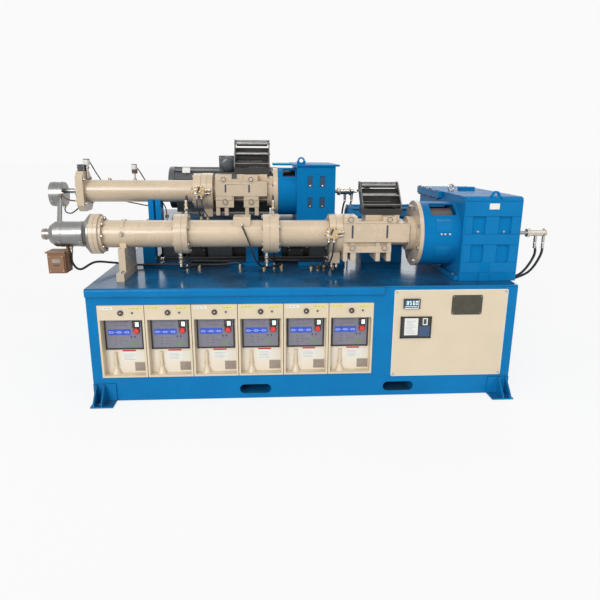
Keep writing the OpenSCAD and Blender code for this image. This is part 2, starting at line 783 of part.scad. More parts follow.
// Front head: outlet boss, nose, body and flare, with the flow channel through it
ring_pcd_r = (f_barrel_d / 2 + ring_r) / 2;
stud_l = 30;
module front_head() color(steel) front(f_head_x) difference() {
  union() {
    disc(boss_r, outlet_l, -outlet_l);
    flare(nose_r, head_r, nose_l, -nose_l);
    disc(head_r, head_l + head_flare_l * 0.2);
    flare(head_r, head_flare_r, head_flare_l * 0.75, head_l);
    disc(head_flare_r, head_flare_l * 0.25, head_l + head_flare_l * 0.75);
  }
  disc(outlet_r, outlet_l + head_l / 2, -outlet_l - over);
  flare(outlet_r, f_bore_r, head_l / 2 + head_flare_l + over, head_l / 2 - over);
  round_x(ring_bolts, ring_pcd_r) disc(hole_r, stud_l + over, head_l + head_flare_l - stud_l);
  link_run() cylinder(r = link_bore_r, h = link_l);
}
link_bore_r = 9;

// Rear head: body on a rod-like neck, with the melt channel down to the link
module rear_head() color(steel) rear(r_head_x) difference() {
  union() {
    disc(r_head_r, r_head_l, 0, 0, -r_head_drop);
    disc(rod_r, rod_l + over, r_head_l - over);
    disc(r_plate_w * 0.42, sleeve_l, r_head_l + rod_l - sleeve_l);
  }
  disc(link_bore_r, r_head_l / 2 + rod_l + over, r_head_l / 2);
  translate([-r_head_x, -r_axis_y, -r_z]) link_frame() cylinder(r = link_bore_r, h = link_l);
}
sleeve_l = 12;

// Melt link between the heads, trimmed to both of them
link_a = [f_head_x + head_r * 0.2, f_axis_y, f_z];
link_b = [r_head_x + r_head_l * 0.6, r_axis_y, r_z];
link_l = norm(link_b - link_a);
module link_frame() {
  d = link_b - link_a;
  translate(link_a) rotate([0, acos(d[2] / norm(d)), atan2(d[1], d[0])]) children();
}
module link_run() { translate([-f_head_x, -f_axis_y, -f_z]) link_frame() children(); }
module head_link() color(steel) difference() {
  link_frame() cylinder(r = link_r, h = link_l);
  link_frame() translate([0, 0, -over]) cylinder(r = link_bore_r, h = link_l + 2 * over);
  front(f_head_x) disc(head_r + seat_gap, head_l * 1.2, -nose_l);
  rear(r_head_x) translate([0, 0, -r_head_drop]) bore(r_head_r + seat_gap, r_head_l);
}

// Terminal box that hangs under the front head on a flat post
box_l = 118;
box_w = 130;
box_h = 140;
box_lid_t = 8;
box_lid_out = 12;
post_t = 12;
post_w = 60;
box_out = 56;
box_drop = 176;
box_x = f_head_x - box_out;
box_z = f_z - head_r - box_drop;
module head_box() color("#8a5a3c") {
  block(box_x, f_axis_y - box_w / 2, box_z, box_l, box_w, box_h);
  block(box_x - box_lid_out, f_axis_y - box_w / 2 - box_lid_out / 2, box_z + box_h,
    box_l + box_lid_out, box_w + box_lid_out, box_lid_t);
  difference() {
    block(box_x + box_l, f_axis_y - post_w / 2, box_z + box_h * 0.1, post_t, post_w,
      f_z - box_z - head_r * 0.8);
    front(f_head_x) disc(head_r + seat_gap, head_l, -over);
  }
}

// Cradle under the first barrel, with its strap over the top
stand_in = 186;
stand_x = f_seg1_x + stand_in;
stand_l = 45;
stand_front = 130;
stand_back = 190;
stand_foot_l = 52;
stand_foot_h = 54;
stand_foot_out = 78;
strap_l = 26;
strap_t = 6;
module front_stand() color(cream) front(stand_x) difference() {
  union() {
    block(0, -stand_front, -f_axis_h, stand_l, stand_front + stand_back, f_axis_h);
    block(-(stand_foot_l - stand_l) / 2, -stand_front - stand_foot_out, -f_axis_h, stand_foot_l,
      stand_front + stand_foot_out + stand_back, stand_foot_h);
    disc(f_barrel_d / 2 + strap_t + seat_gap, strap_l, (stand_l - strap_l) / 2);
  }
  disc(f_barrel_d / 2 + seat_gap, 3 * stand_foot_l, -stand_foot_l);
  // Relief that narrows the plate beside the barrel
  for (y = [-stand_front - over, stand_back - stand_front * 0.4])
    block(-over, y, -f_axis_h * 0.28, stand_l + 2 * over, stand_front * 0.4 + over, f_axis_h);
}

// Feed rollers: from and to along the feed block, in shares of its length, and their journals
roller_shares = [[0.33, 0.79], [0.41, 0.90]];
throat_shares = [[0.36, 0.75], [0.44, 0.86]];
roller_room = 1.5;
journal_l = 24;

// Bearings as [x, y from the screw's axis, shaft radius, width] on each line
function box_bearings(x0, x1, w, places) = [for (p = places, x = [x0, x1 - w])
  [x, p[0], x == x0 ? p[1] : p[2], w]];
function motor_bearings(x, l, y) = [for (p = [x + cap_l - r_bear_w, x + l - cap_l])
  [p, y, drive_shaft_r, r_bear_w]];
f_bearings = box_bearings(f_gear_x, f_gear_end, f_bear_w, [[0, quill_r, tail_r],
  [f_mid_y, mid_shaft_r, mid_shaft_r], [f_drive_y, drive_shaft_r, drive_shaft_r]]);
r_bearings = box_bearings(r_gear_x, r_gear_end, r_bear_w, [[0, quill_r, tail_r],
  [r_mid_y, mid_shaft_r, mid_shaft_r], [r_drive_y, drive_shaft_r, drive_shaft_r]]);
f_motor_bearings = motor_bearings(f_motor_x, f_motor_l, f_drive_y);
r_motor_bearings = motor_bearings(r_motor_x, r_motor_l, r_drive_y);
function feed_bearings(x, l, i) = [
  [x + l * roller_shares[i][0] - journal_l - roller_room, nip_l, roller_shaft_r, journal_l],
  [x + l * roller_shares[i][1] + roller_room, nip_l, roller_shaft_r, journal_l]];
f_feed_bearings = feed_bearings(f_feed_x, f_feed_l, 0);
r_feed_bearings = feed_bearings(r_feed_x, r_feed_l, 1);
module seats(list) { for (b = list) disc(b[2] + bear_seat(b), b[3] + over, b[0] - over / 2, b[1]); }
module bosses(list) { for (b = list) disc(b[2] + bear_seat(b) + boss_t, b[3], b[0], b[1]); }
module rings(list) {
  for (b = list) difference() {
    disc(b[2] + bear_seat(b), b[3], b[0], b[1]);
    disc(b[2] + run_gap, b[3] + 2 * over, b[0] - over, b[1]);
  }
}
function bear_seat(b) = b[3] == journal_l ? bear_t / 2 : bear_t;
module bearings() color(steel) {
  front() {
    rings(f_bearings);
    rings(f_motor_bearings);
    rings(f_feed_bearings);
  }
  rear() {
    rings(r_bearings);
    rings(r_motor_bearings);
    rings(r_feed_bearings);
  }
}

// Feed blocks: a core round the screw with ears, ledges and legs in front, and the throat
ear_shares = [[[0.0, 0.18], [0.53, 0.71]], [[0.05, 0.32], [0.52, 0.745]]];
ledge_shares = [[[0.0, 0.66]], [[0.05, 0.345], [0.51, 0.76]]];
post_shares = [[0.0, 0.10, 0.45, 0.60], [0.05, 0.19, 0.53, 0.69]];
ledge_bolt_shares = [[0.125, 0.565], [0.205, 0.632]];
core_share = 0.90;
ear_top = 133;
feed_front = 135;
core_front = 108;
feed_back = nip_l + feed_roller_d / 2 + 2 * gear_wall / 3;
side_low = 44;
core_low = 64;
rear_mid_low = 30;
rear_ear_low = 60;
mid_lows = [side_low, rear_mid_low];
ear_lows = [side_low, rear_ear_low];
mid_top = 99;
core_top = 85;
core_y = 62;
ear_back = 30;
ledge_low = 116;
front_ledge_h = 44;
ledge_hs = [front_ledge_h, ledge_low];
leg_low = 178;
leg_back = 90;
leg_in = 12;
hub_r = 118;
pad_rim = 20;
pad_front = 46;
throat_front = 26;
cover_t = 8;
slot_w = 13;
slot_shares = [0.46, 0.31];
slot_in = 14;
slot_up = 28;
module throat_box(l, i, z0, z1, grow) {
  t = throat_shares[i] * l;
  block(t[0] - grow, -throat_front - grow, z0, t[1] - t[0] + 2 * grow,
    throat_front + nip_l + 2 * grow, z1 - z0);
}
module feed_body(l, i, bore_r, bears) {
  ears = ear_shares[i] * l;
  rs = roller_shares[i] * l;
  difference() {
  union() {
    block(0, -core_y, -core_low, l * core_share, core_y + feed_back, core_low + core_top);
    block(ears[0][0], -feed_front, -mid_lows[i], ears[1][1] - ears[0][0], feed_front,
      mid_lows[i] + mid_top);
    block(ears[0][0], -feed_front, -mid_lows[i], core_share * l - ears[0][0], feed_front,
      mid_lows[i] + core_top);
    throat_box(l, i, 0, ear_top, pad_rim);
    for (e = ears) block(e[0], -feed_front, -ear_lows[i], e[1] - e[0], feed_front + ear_back,
      ear_lows[i] + ear_top);
    for (e = ledge_shares[i] * l) {
      block(e[0], -core_front, -ledge_low, e[1] - e[0], core_front + ear_back, ledge_low);
      block(e[0], -feed_front + leg_in / 2, -ledge_low, e[1] - e[0], feed_front, ledge_hs[i]);
    }
    for (x = post_shares[i] * l)
      block(x, -feed_front + leg_in, -leg_low, leg_in * 2.5, feed_front + leg_back, leg_low);
    disc(hub_r, l * (1 - core_share), l * core_share);
    disc(hub_r * 0.7, l);
  }
  bore(bore_r, l);
  // Room of the feed roller, open to the back and to the screw
  room_r = feed_roller_d / 2 + roller_room;
  room_l = rs[1] - rs[0] + 2 * roller_room;
  disc(room_r, room_l, rs[0] - roller_room, nip_l);
  block(rs[0] - roller_room, nip_l, -room_r, room_l, feed_back, 2 * room_r);
  throat_box(l, i, 0, ear_top + over, 0);
  seats(bears);
  feed_bolts(l, i) translate([0, -over, 0]) rotate([-90, 0, 0])
    cylinder(r = hole_r, h = feed_bolt_l + 2 * over);
  disc(roller_shaft_r + free_gap, l - rs[0] + over, rs[0], nip_l);
  // Seat of the cover plate
  block(ears[0][0] - over, -feed_front - over, -mid_lows[i], core_share * l - ears[0][0] + 2 * over,
    cover_t + over, mid_lows[i] + core_top);
  feed_slots(l, i);
  }
}
// Slots through the cover plate into the block, between the ears
module feed_slots(l, i) {
  h = slot_shares[i] * (core_low + ear_top);
  for (x = [ear_mid(l, i, 0) + slot_in, ear_mid(l, i, 1) - slot_in])
    translate([x + slot_w / 2, -feed_front + 3 * cover_t, slot_up - h / 2])
      rotate([90, -90, 0]) linear_extrude(height = 3 * cover_t + over) obround(h, slot_w);
}
function ear_mid(l, i, k) = (ear_shares[i][k][0] + ear_shares[i][k][1]) / 2 * l;
// Bolts on the front of a feed block: above the cover and on the ledge, on both ears
feed_bolt_l = 24;
ear_bolt_zs = [112, 98];
ledge_bolt_zs = [84, 75];
module feed_bolts(l, i) {
  for (k = [0, 1]) translate([ear_mid(l, i, k), -feed_front, ear_bolt_zs[i]]) children();
  for (x = ledge_bolt_shares[i] * l)
    translate([x, -feed_front + leg_in / 2, -ledge_bolt_zs[i]]) children();
}
function shifted(list, dx) = [for (b = list) [b[0] - dx, b[1], b[2], b[3]]];
module front_feed_block() color(cream) front(f_feed_x)
  feed_body(f_feed_l, 0, f_bore_r, shifted(f_feed_bearings, f_feed_x));
module rear_feed_block() color(cream) rear(r_feed_x)
  feed_body(r_feed_l, 1, r_bore_r, shifted(r_feed_bearings, r_feed_x));
back_rim = 8;
module feed_cover_set(l, i) {
  x = ear_shares[i][0][0] * l;
  difference() {
    block(x, -feed_front, -mid_lows[i] + free_gap, core_share * l - x, cover_t,
      mid_lows[i] + core_top - 2 * free_gap);
    feed_slots(l, i);
  }
  r = roller_shares[i] * l;
  block(r[0] - back_rim, feed_back, -core_low + leg_in / 2, r[1] - r[0] + 2 * back_rim, cover_t,
    core_low + core_top - leg_in);
}
module feed_covers() color(cream) {
  front(f_feed_x) feed_cover_set(f_feed_l, 0);
  rear(r_feed_x) feed_cover_set(r_feed_l, 1);
}

// Hoppers: leaning side plates with a chute and cross bars, over the throat
hopper_out = 190;
hopper_t = 8;
side_shares = [[-0.10, 0.10], [0.37, 0.10], [0.37, 0.19], [1.0, 0.76], [1.0, 1.0], [0.68, 1.0], [0.21, 0.585],
  [-0.10, 0.30]];
chute_shares = [[0.28, 0.19], [0.32, 0.19], [0.98, 0.76], [0.94, 0.76]];
base_share = 0.19;
top_roller_share = [0.79, 0.885];
mid_roller_share = [0.47, 0.58];
bar_shares = [[0.02, 0.25], [0.93, 0.95]];
bar_r = 7;
mid_roller_r = 14;
pin_r = 7;
function hopper_place(s, h) = [0, s[0] * hopper_out, ear_top + s[1] * h];
module hopper_outline(s, h, l) {
  rotate([90, 0, 90]) linear_extrude(height = l)
    polygon([for (p = s) [p[0] * hopper_out, ear_top + p[1] * h]]);
}
module hopper(l, i, w, h) {
  t = throat_shares[i] * l;
  x = (t[0] + t[1]) / 2 - w / 2;
  difference() {
    union() {
      block(x - hopper_t, -pad_front, ear_top, w + 2 * hopper_t, pad_front + nip_l + pad_rim,
        base_share * h);
      for (p = [x - hopper_t, x + w]) translate([p, 0, 0]) hopper_outline(side_shares, h, hopper_t);
      translate([x - hopper_t / 2, 0, 0]) hopper_outline(chute_shares, h, w + hopper_t);
      for (s = bar_shares) translate(hopper_place(s, h)) disc(bar_r, w + hopper_t, x - hopper_t / 2);
    }
    throat_box(l, i, ear_top - over, ear_top + base_share * h + over, 0);
    for (s = [top_roller_share, mid_roller_share]) translate(hopper_place(s, h))
      disc(pin_r + run_gap, w + 2 * hopper_t + 2 * over, x - hopper_t - over);
  }
}
f_hop = [f_feed_l, 0, f_hopper_w, f_hopper_h];
r_hop = [r_feed_l, 1, r_hopper_w, r_hopper_h];
module guide_roller(p, s, r) {
  w = p[2];
  h = p[3];
  t = throat_shares[p[1]] * p[0];
  x = (t[0] + t[1]) / 2 - w / 2;
  translate(hopper_place(s, h)) {
    disc(r, w - 2 * hopper_t, x + hopper_t);
    disc(pin_r, w + 2 * hopper_t, x - hopper_t);
  }
}
module front_hopper() color(dark_steel) front(f_feed_x) hopper(f_feed_l, 0, f_hopper_w, f_hopper_h);
module rear_hopper() color(dark_steel) rear(r_feed_x) hopper(r_feed_l, 1, r_hopper_w, r_hopper_h);
module front_top_roller() color(steel) front(f_feed_x)
  guide_roller(f_hop, top_roller_share, roller_d / 2);
module front_mid_roller() color(steel) front(f_feed_x)
  guide_roller(f_hop, mid_roller_share, mid_roller_r);
module rear_top_roller() color(steel) rear(r_feed_x)
  guide_roller(r_hop, top_roller_share, roller_d / 2);
module rear_mid_roller() color(steel) rear(r_feed_x)
  guide_roller(r_hop, mid_roller_share, mid_roller_r);

// Neck flanges between the feed blocks and the lantern necks
module neck_flange(d, t, neck_d) difference() {
  disc(d / 2, t);
  bore(shank_r + free_gap, t);
  disc(roller_shaft_r + free_gap, t + 2 * over, -over, nip_l);
  neck_ring(neck_d) bore(hole_r, t);
}
module neck_ring(d) round_x(neck_bolts, d / 2 - hex_d * 0.9, 180 / neck_bolts) children();
module front_neck_flange() color(cream) front(f_flange_x)
  neck_flange(f_neck_flange_d, f_neck_flange_t, f_neck_d);
module rear_neck_flange() color(cream) rear(r_flange_x)
  neck_flange(r_neck_flange_d, r_neck_flange_t, r_neck_d);

// Gearboxes: hollow housings with a lantern neck, bearing bosses, pockets and a foot flange
neck_wall = 16;
neck_end_t = 34;
window_turn = 32;
window_share = [0.17, 0.93];
pocket_d = 14;
f_pocket_x_shares = [[0.165, 0.38], [0.615, 0.83]];
f_pocket_z = [[-162, -44], [30, 145]];
r_pocket_x_shares = [[0.28, 0.415], [0.595, 0.74]];
r_pocket_z = [[-117, -34], [39, 125]];
f_foot_out = 28;
foot_flange_h = 30;
f_split_t = 36;
f_split_out = 28;
lug_w = 66;
lug_h = 54;
lug_t = 26;
lug_hole_r = 15;
low_lug_h = 60;
module neck(l, d, turn) difference() {
  disc(d / 2, l);
  disc(d / 2 - neck_wall, l + over, neck_end_t);
  bore(shank_r + free_gap, l);
  disc(roller_shaft_r + free_gap, l + 2 * over, -over, nip_l);
  neck_ring(d) disc(hole_r, neck_end_t, -over);
  // Windows: one high on the front side, one high on the back side
  for (t = [turn, -turn]) rotate([t, 0, 0])
    block(l * window_share[0] + neck_wall, -d * 0.14, d * 0.3, l * (window_share[1]
      - window_share[0]) - neck_wall, d * 0.28, d);
}
module pockets(xs, zs, l, y) {
  for (x = xs, z = zs) block(x[0] * l, y - over, z[0], (x[1] - x[0]) * l, pocket_d + over, z[1] - z[0]);
}
module lug(x, y, z) {
  translate([x, y, z]) difference() {
    union() {
      block(0, 0, 0, lug_w, lug_t, lug_h / 2);
      translate([lug_w / 2, lug_t, lug_h / 2]) rotate([90, 0, 0]) cylinder(r = lug_h / 2, h = lug_t);
    }
    translate([lug_w / 2, lug_t + over, lug_h / 2]) rotate([90, 0, 0])
      cylinder(r = lug_hole_r, h = lug_t + 2 * over);
  }
}
module front_gearbox() color(blue) front(f_gear_x) {
  y0 = f_gear_y - f_axis_y;
  difference() {
    union() {
      difference() {
        union() {
          block(0, y0, -f_axis_h, f_gear_w, f_gear_l, f_axis_h + f_gear_up);
          block(-f_foot_out, y0 + gear_wall, -f_axis_h, f_foot_out + f_gear_w,
            f_gear_l - 2 * gear_wall, foot_flange_h);
          block(-f_split_out, f_neck_d / 2 + gear_wall, f_gear_up - f_split_t, f_split_out,
            f_gear_l + y0 - f_neck_d / 2 - gear_wall, f_split_t);
        }
        block(gear_wall, y0 + front_wall, -f_axis_h + foot_flange_h, f_gear_w - 2 * gear_wall,
          f_gear_l - front_wall - gear_wall, f_axis_h + f_gear_up);
        pockets(f_pocket_x_shares, f_pocket_z, f_gear_w, y0);
      }
      bosses(shifted(f_bearings, f_gear_x));
      translate([-f_neck_l, 0, 0]) neck(f_neck_l, f_neck_d, window_turn);
      lug(f_gear_w * 0.44, y0, f_gear_up);
      block(f_gear_w * 0.34, y0 - lug_t / 2, -f_axis_h, lug_w, lug_t / 2, low_lug_h);
    }
    seats(shifted(f_bearings, f_gear_x));
    split_bolts() translate([0, 0, -f_split_t - over]) cylinder(r = hole_r, h = f_split_t + 2 * over);
    foot_bolts() translate([0, 0, -over]) cylinder(r = hole_r, h = foot_flange_h + 2 * over);
    disc(quill_r + 2 * free_gap, 2 * quill_out + over, -2 * quill_out);
  }
}
r_top_t = 14;
r_top_out = 28;
module rear_gearbox() color(blue) rear(r_gear_x) {
  y0 = r_gear_y - r_axis_y;
  difference() {
    union() {
      difference() {
        block(0, y0, -r_axis_h, r_gear_w, r_gear_l, r_axis_h + r_gear_up);
        block(gear_wall, y0 + gear_wall, -r_axis_h + gear_wall, r_gear_w - 2 * gear_wall,
          r_gear_l - 2 * gear_wall, r_axis_h + r_gear_up);
        pockets(r_pocket_x_shares, r_pocket_z, r_gear_w, y0 - pocket_d / 2);
      }
      bosses(shifted(r_bearings, r_gear_x));
      translate([-r_neck_l, 0, 0]) neck(r_neck_l, r_neck_d, window_turn);
    }
    seats(shifted(r_bearings, r_gear_x));
    disc(quill_r + 2 * free_gap, 2 * quill_out + over, -2 * quill_out);
  }
}

// Bolts of the front lid's overhang and of the gearbox's foot
split_bolt_shares = [0.12, 0.42, 0.72, 0.94];
foot_bolt_shares = [0.08, 0.36, 0.64, 0.92];
module split_bolts() {
  y0 = f_neck_d / 2 + gear_wall;
  for (s = split_bolt_shares) translate([-f_split_out / 2, y0 + s * (f_gear_l + f_gear_y - f_axis_y
    - y0), f_gear_up]) children();
}
module foot_bolts() {
  for (s = foot_bolt_shares) translate([-f_foot_out / 2, f_gear_y - f_axis_y + s * f_gear_l,
    -f_axis_h]) children();
}

// Gearbox lids, blank plates, breathers and the rear gearbox's lifting lug
f_lid_t = 16;
label_w = 65;
label_h = 36;
label_t = 2;
breather_l = 117;
breather_r = 26;
f_dome_h = 12;
module gearbox_covers() color(blue) {
  front(f_gear_x) {
    y0 = f_gear_y - f_axis_y;
    difference() {
      union() {
        block(0, y0 + lug_t, f_gear_up, f_gear_w, f_gear_l - lug_t, f_lid_t);
        block(-f_split_out, f_neck_d / 2 + gear_wall, f_gear_up, f_split_out + over,
          f_gear_l + y0 - f_neck_d / 2 - gear_wall, f_lid_t);
      }
      split_bolts() translate([0, 0, -over]) cylinder(r = hole_r, h = f_lid_t + 2 * over);
    }
    block(f_gear_w * 0.425, y0 - label_t, f_gear_up - label_h * 1.8, label_w, label_t, label_h);
    // Breather box on the lid
    block(f_gear_w * 0.41, f_mid_y + breather_r * 2, f_gear_up + f_lid_t, breather_l,
      2 * breather_r, breather_r);
  }
  rear(r_gear_x) {
    y0 = r_gear_y - r_axis_y;
    block(-r_top_out, y0 - r_top_out / 2, r_gear_up, r_gear_w + 2 * r_top_out, r_gear_l + r_top_out / 2,
      r_top_t);
    block(-r_neck_l - r_neck_flange_t, y0 + r_gear_l * 0.30, r_gear_up, r_neck_l + r_neck_flange_t,
      r_gear_l * 0.45, r_top_t);
    translate([0, 0, r_top_t]) lug(0, y0 + lug_t, r_gear_up);
    block(r_gear_w * 0.45, y0 - label_t, r_gear_up - label_h * 1.6, label_w, label_t, label_h);
  }
}

// Motors: housing with end caps, foot, bell housing to the gearbox, terminal box
bell_flange_t = 18;
motor_fin_n = 14;
fin_h = 8;
fin_w = 5;
box_side = 130;
module motor(d, l, bell, bears, foot_w, box_x0, box_l, box_up, box_depth) difference() {
  union() {
    disc(d / 2 - fin_h, l);
    disc(d / 2, cap_l * 0.8);
    disc(d / 2, cap_l * 0.8, l - cap_l * 0.8);
    round_x(motor_fin_n, d / 2 - fin_h * 2, 360 / motor_fin_n / 2) block(cap_l / 2, -fin_w / 2, 0,
      l - cap_l, fin_w, fin_h * 2);
    block(cap_l, -foot_w / 2, -d / 2 - motor_foot_h, l - 2 * cap_l, foot_w, motor_foot_h * 2);
    for (y = [-foot_w / 2, foot_w / 2 - 2 * motor_foot_h]) block(cap_l, y, -d / 2, l - 2 * cap_l,
      2 * motor_foot_h, d * 0.3);
    disc(d / 2 - fin_h, bell, l);
    block(box_x0, -box_depth / 2, d * 0.4, box_l, box_depth, box_up - d * 0.4);
  }
  // Room of the rotor, bearing seats, and the shaft's way out
  disc(rotor_r(d) + rotor_gap, l - 2 * cap_l, cap_l);
  seats(bears);
  disc(drive_shaft_r + rotor_gap, l + bell - cap_l + over, cap_l);
  disc(d * 0.36, bell - bell_flange_t + over, l + bell_flange_t);
}
function rotor_r(d) = d * 0.27;
f_box_l = 150;
f_box_up = 230;
r_box_l = 250;
r_box_up = 268;
module front_motor() color(blue) front(f_motor_x) translate([0, f_drive_y, 0])
  motor(f_motor_d, f_motor_l, f_bell_l, [for (b = shifted(f_motor_bearings, f_motor_x))
    [b[0], 0, b[2], b[3]]], f_motor_d * 0.84, f_motor_l * 0.3, f_box_l, f_box_up, box_side);
module rear_motor() color(motor_grey) rear(r_motor_x) translate([0, r_drive_y, 0]) {
  motor(r_motor_d, r_motor_l, r_bell_l, [for (b = shifted(r_motor_bearings, r_motor_x))
    [b[0], 0, b[2], b[3]]], r_motor_d * 0.84, r_motor_l * 0.466, r_box_l, r_box_up, box_side * 1.4);
}

// Rotary unions for the screws' cooling water, with their elbows
elbow_r = 11;
elbow_l = 36;
elbow_shares = [0.49, 0.90];
spigot_l = 60;
module union_body(l) difference() {
  union() {
    disc(union_r, l);
    for (s = elbow_shares) translate([s * l, 0, -union_r - elbow_l]) cylinder(r = elbow_r, h = union_r
      + elbow_l);
    disc(union_r * 1.25, l * 0.12);
  }
  disc(union_rod_r + run_gap, spigot_l + over, -over);
  disc(elbow_r / 2, l * 0.5, spigot_l - over);
}
module front_union() color(brass) front(union_x) union_body(union_l);
module rear_union() color(brass) rear(r_union_x) union_body(r_union_l);

// Water collars at the feed ends of the barrels, with their lower fitting blocks
f_collar_r = 135;
r_collar_r = 139;
collar_block_w = 84;
f_collar_low = 206;
r_collar_low = 196;
module collar(l, r, bore_r, low, pcd) difference() {
  union() {
    disc(r, l);
    block(l * 0.12, -collar_block_w / 2, -low, l * 0.76, collar_block_w, low);
  }
  bore(bore_r, l);
  flange_bolt_holes(l * collar_bolt_share + bolt_gap - over, 0, flange_bolts, pcd, collar_turn);
}
collar_bolt_share = 0.7;
collar_turn = 15;
module water_collars() color(cream) {
  front(f_collar_x) collar(f_collar_l, f_collar_r, f_bore_r, f_collar_low, f_pcd_r);
  rear(r_collar_x) collar(r_collar_l, r_collar_r, r_bore_r, r_collar_low, r_pcd_r);
}

// Fittings: nipples on the flanges, manifolds beside the collars, glands where hoses end
nipple_r = 9;
low_nipple_r = 12;
nipple_l = 69;
low_nipple_l = 71;
nipple_x = [f_seg2_x + f_mid_flange_l * 0.68, f_seg3_x + f_feed_flange_l * 0.39];
low_nipple_x = [f_seg2_x - f_end_flange_l / 2, f_seg3_x - f_vent_flange_l / 2];
nub_r = 10;
nub_l = 16;
nub_x = r_barrel_x + r_barrel_l * 0.243;
manifold_l = 80;
manifold_w = 28;
manifold_h = 56;
stub_r = 8;
stub_l = 12;
manifold_at = [f_collar_x - manifold_l * 0.36, f_axis_y - f_collar_r - manifold_w - seat_gap,
  f_z - manifold_h * 0.2];
r_manifold_at = [r_collar_x - manifold_l * 0.65, r_axis_y - r_collar_r - manifold_w - seat_gap,
  r_z - manifold_h * 0.4];
stub_shares = [0.25, 0.7];
collar_stub_shares = [0.32, 0.68];
gland_r = 15;
gland_h = 14;
head_nipple_x = f_head_x + head_l * 0.46;
vent_gland_z = f_z + (vent_low + vent_up) / 2;
vent_gland_x = f_seg2_x + vent_x + vent_block_l / 2;
lead_x = r_head_x + r_head_l * 0.82;
lead_z = r_z - r_head_drop - r_head_r - seat_gap - nub_l;
module brass_fittings() color(brass) {
  for (x = nipple_x) translate([x, f_axis_y, f_z + f_flange_r + seat_gap])
    cylinder(r = nipple_r, h = nipple_l);
  for (x = low_nipple_x) translate([x, f_axis_y, f_z - f_flange_r - seat_gap - low_nipple_l])
    cylinder(r = low_nipple_r, h = low_nipple_l);
  translate([nub_x, r_axis_y, r_z + r_barrel_d / 2 + seat_gap]) cylinder(r = nub_r, h = nub_l);
  translate([head_nipple_x, f_axis_y, f_z - head_r - seat_gap - nub_l]) cylinder(r = nub_r, h = nub_l);
  translate([lead_x, r_axis_y, lead_z]) cylinder(r = nub_r, h = nub_l);
  translate([vent_gland_x, f_axis_y - vent_block_w / 2, vent_gland_z]) rotate([90, 0, 0])
    cylinder(r = nub_r, h = nub_l);
  for (m = [manifold_at, r_manifold_at]) translate(m) {
    block(0, 0, 0, manifold_l, manifold_w, manifold_h);
    for (s = stub_shares) translate([s * manifold_l, manifold_w / 2, -stub_l])
      cylinder(r = stub_r, h = stub_l);
  }
  for (s = collar_stub_shares)
    translate([f_collar_x + s * f_collar_l, f_axis_y, f_z - f_collar_low - stub_l])
      cylinder(r = low_nipple_r, h = stub_l);
  // Glands where hoses and leads go in
  for (h = hose_runs) let (p = h[0][len(h[0]) - 1]) {
    if (h[3] == down) translate(p - [0, 0, gland_h]) cylinder(r = gland_r, h = gland_h);
    if (p[0] == wall_in) disc(gland_r, gland_h, deck_l, p[1], p[2]);
  }
}

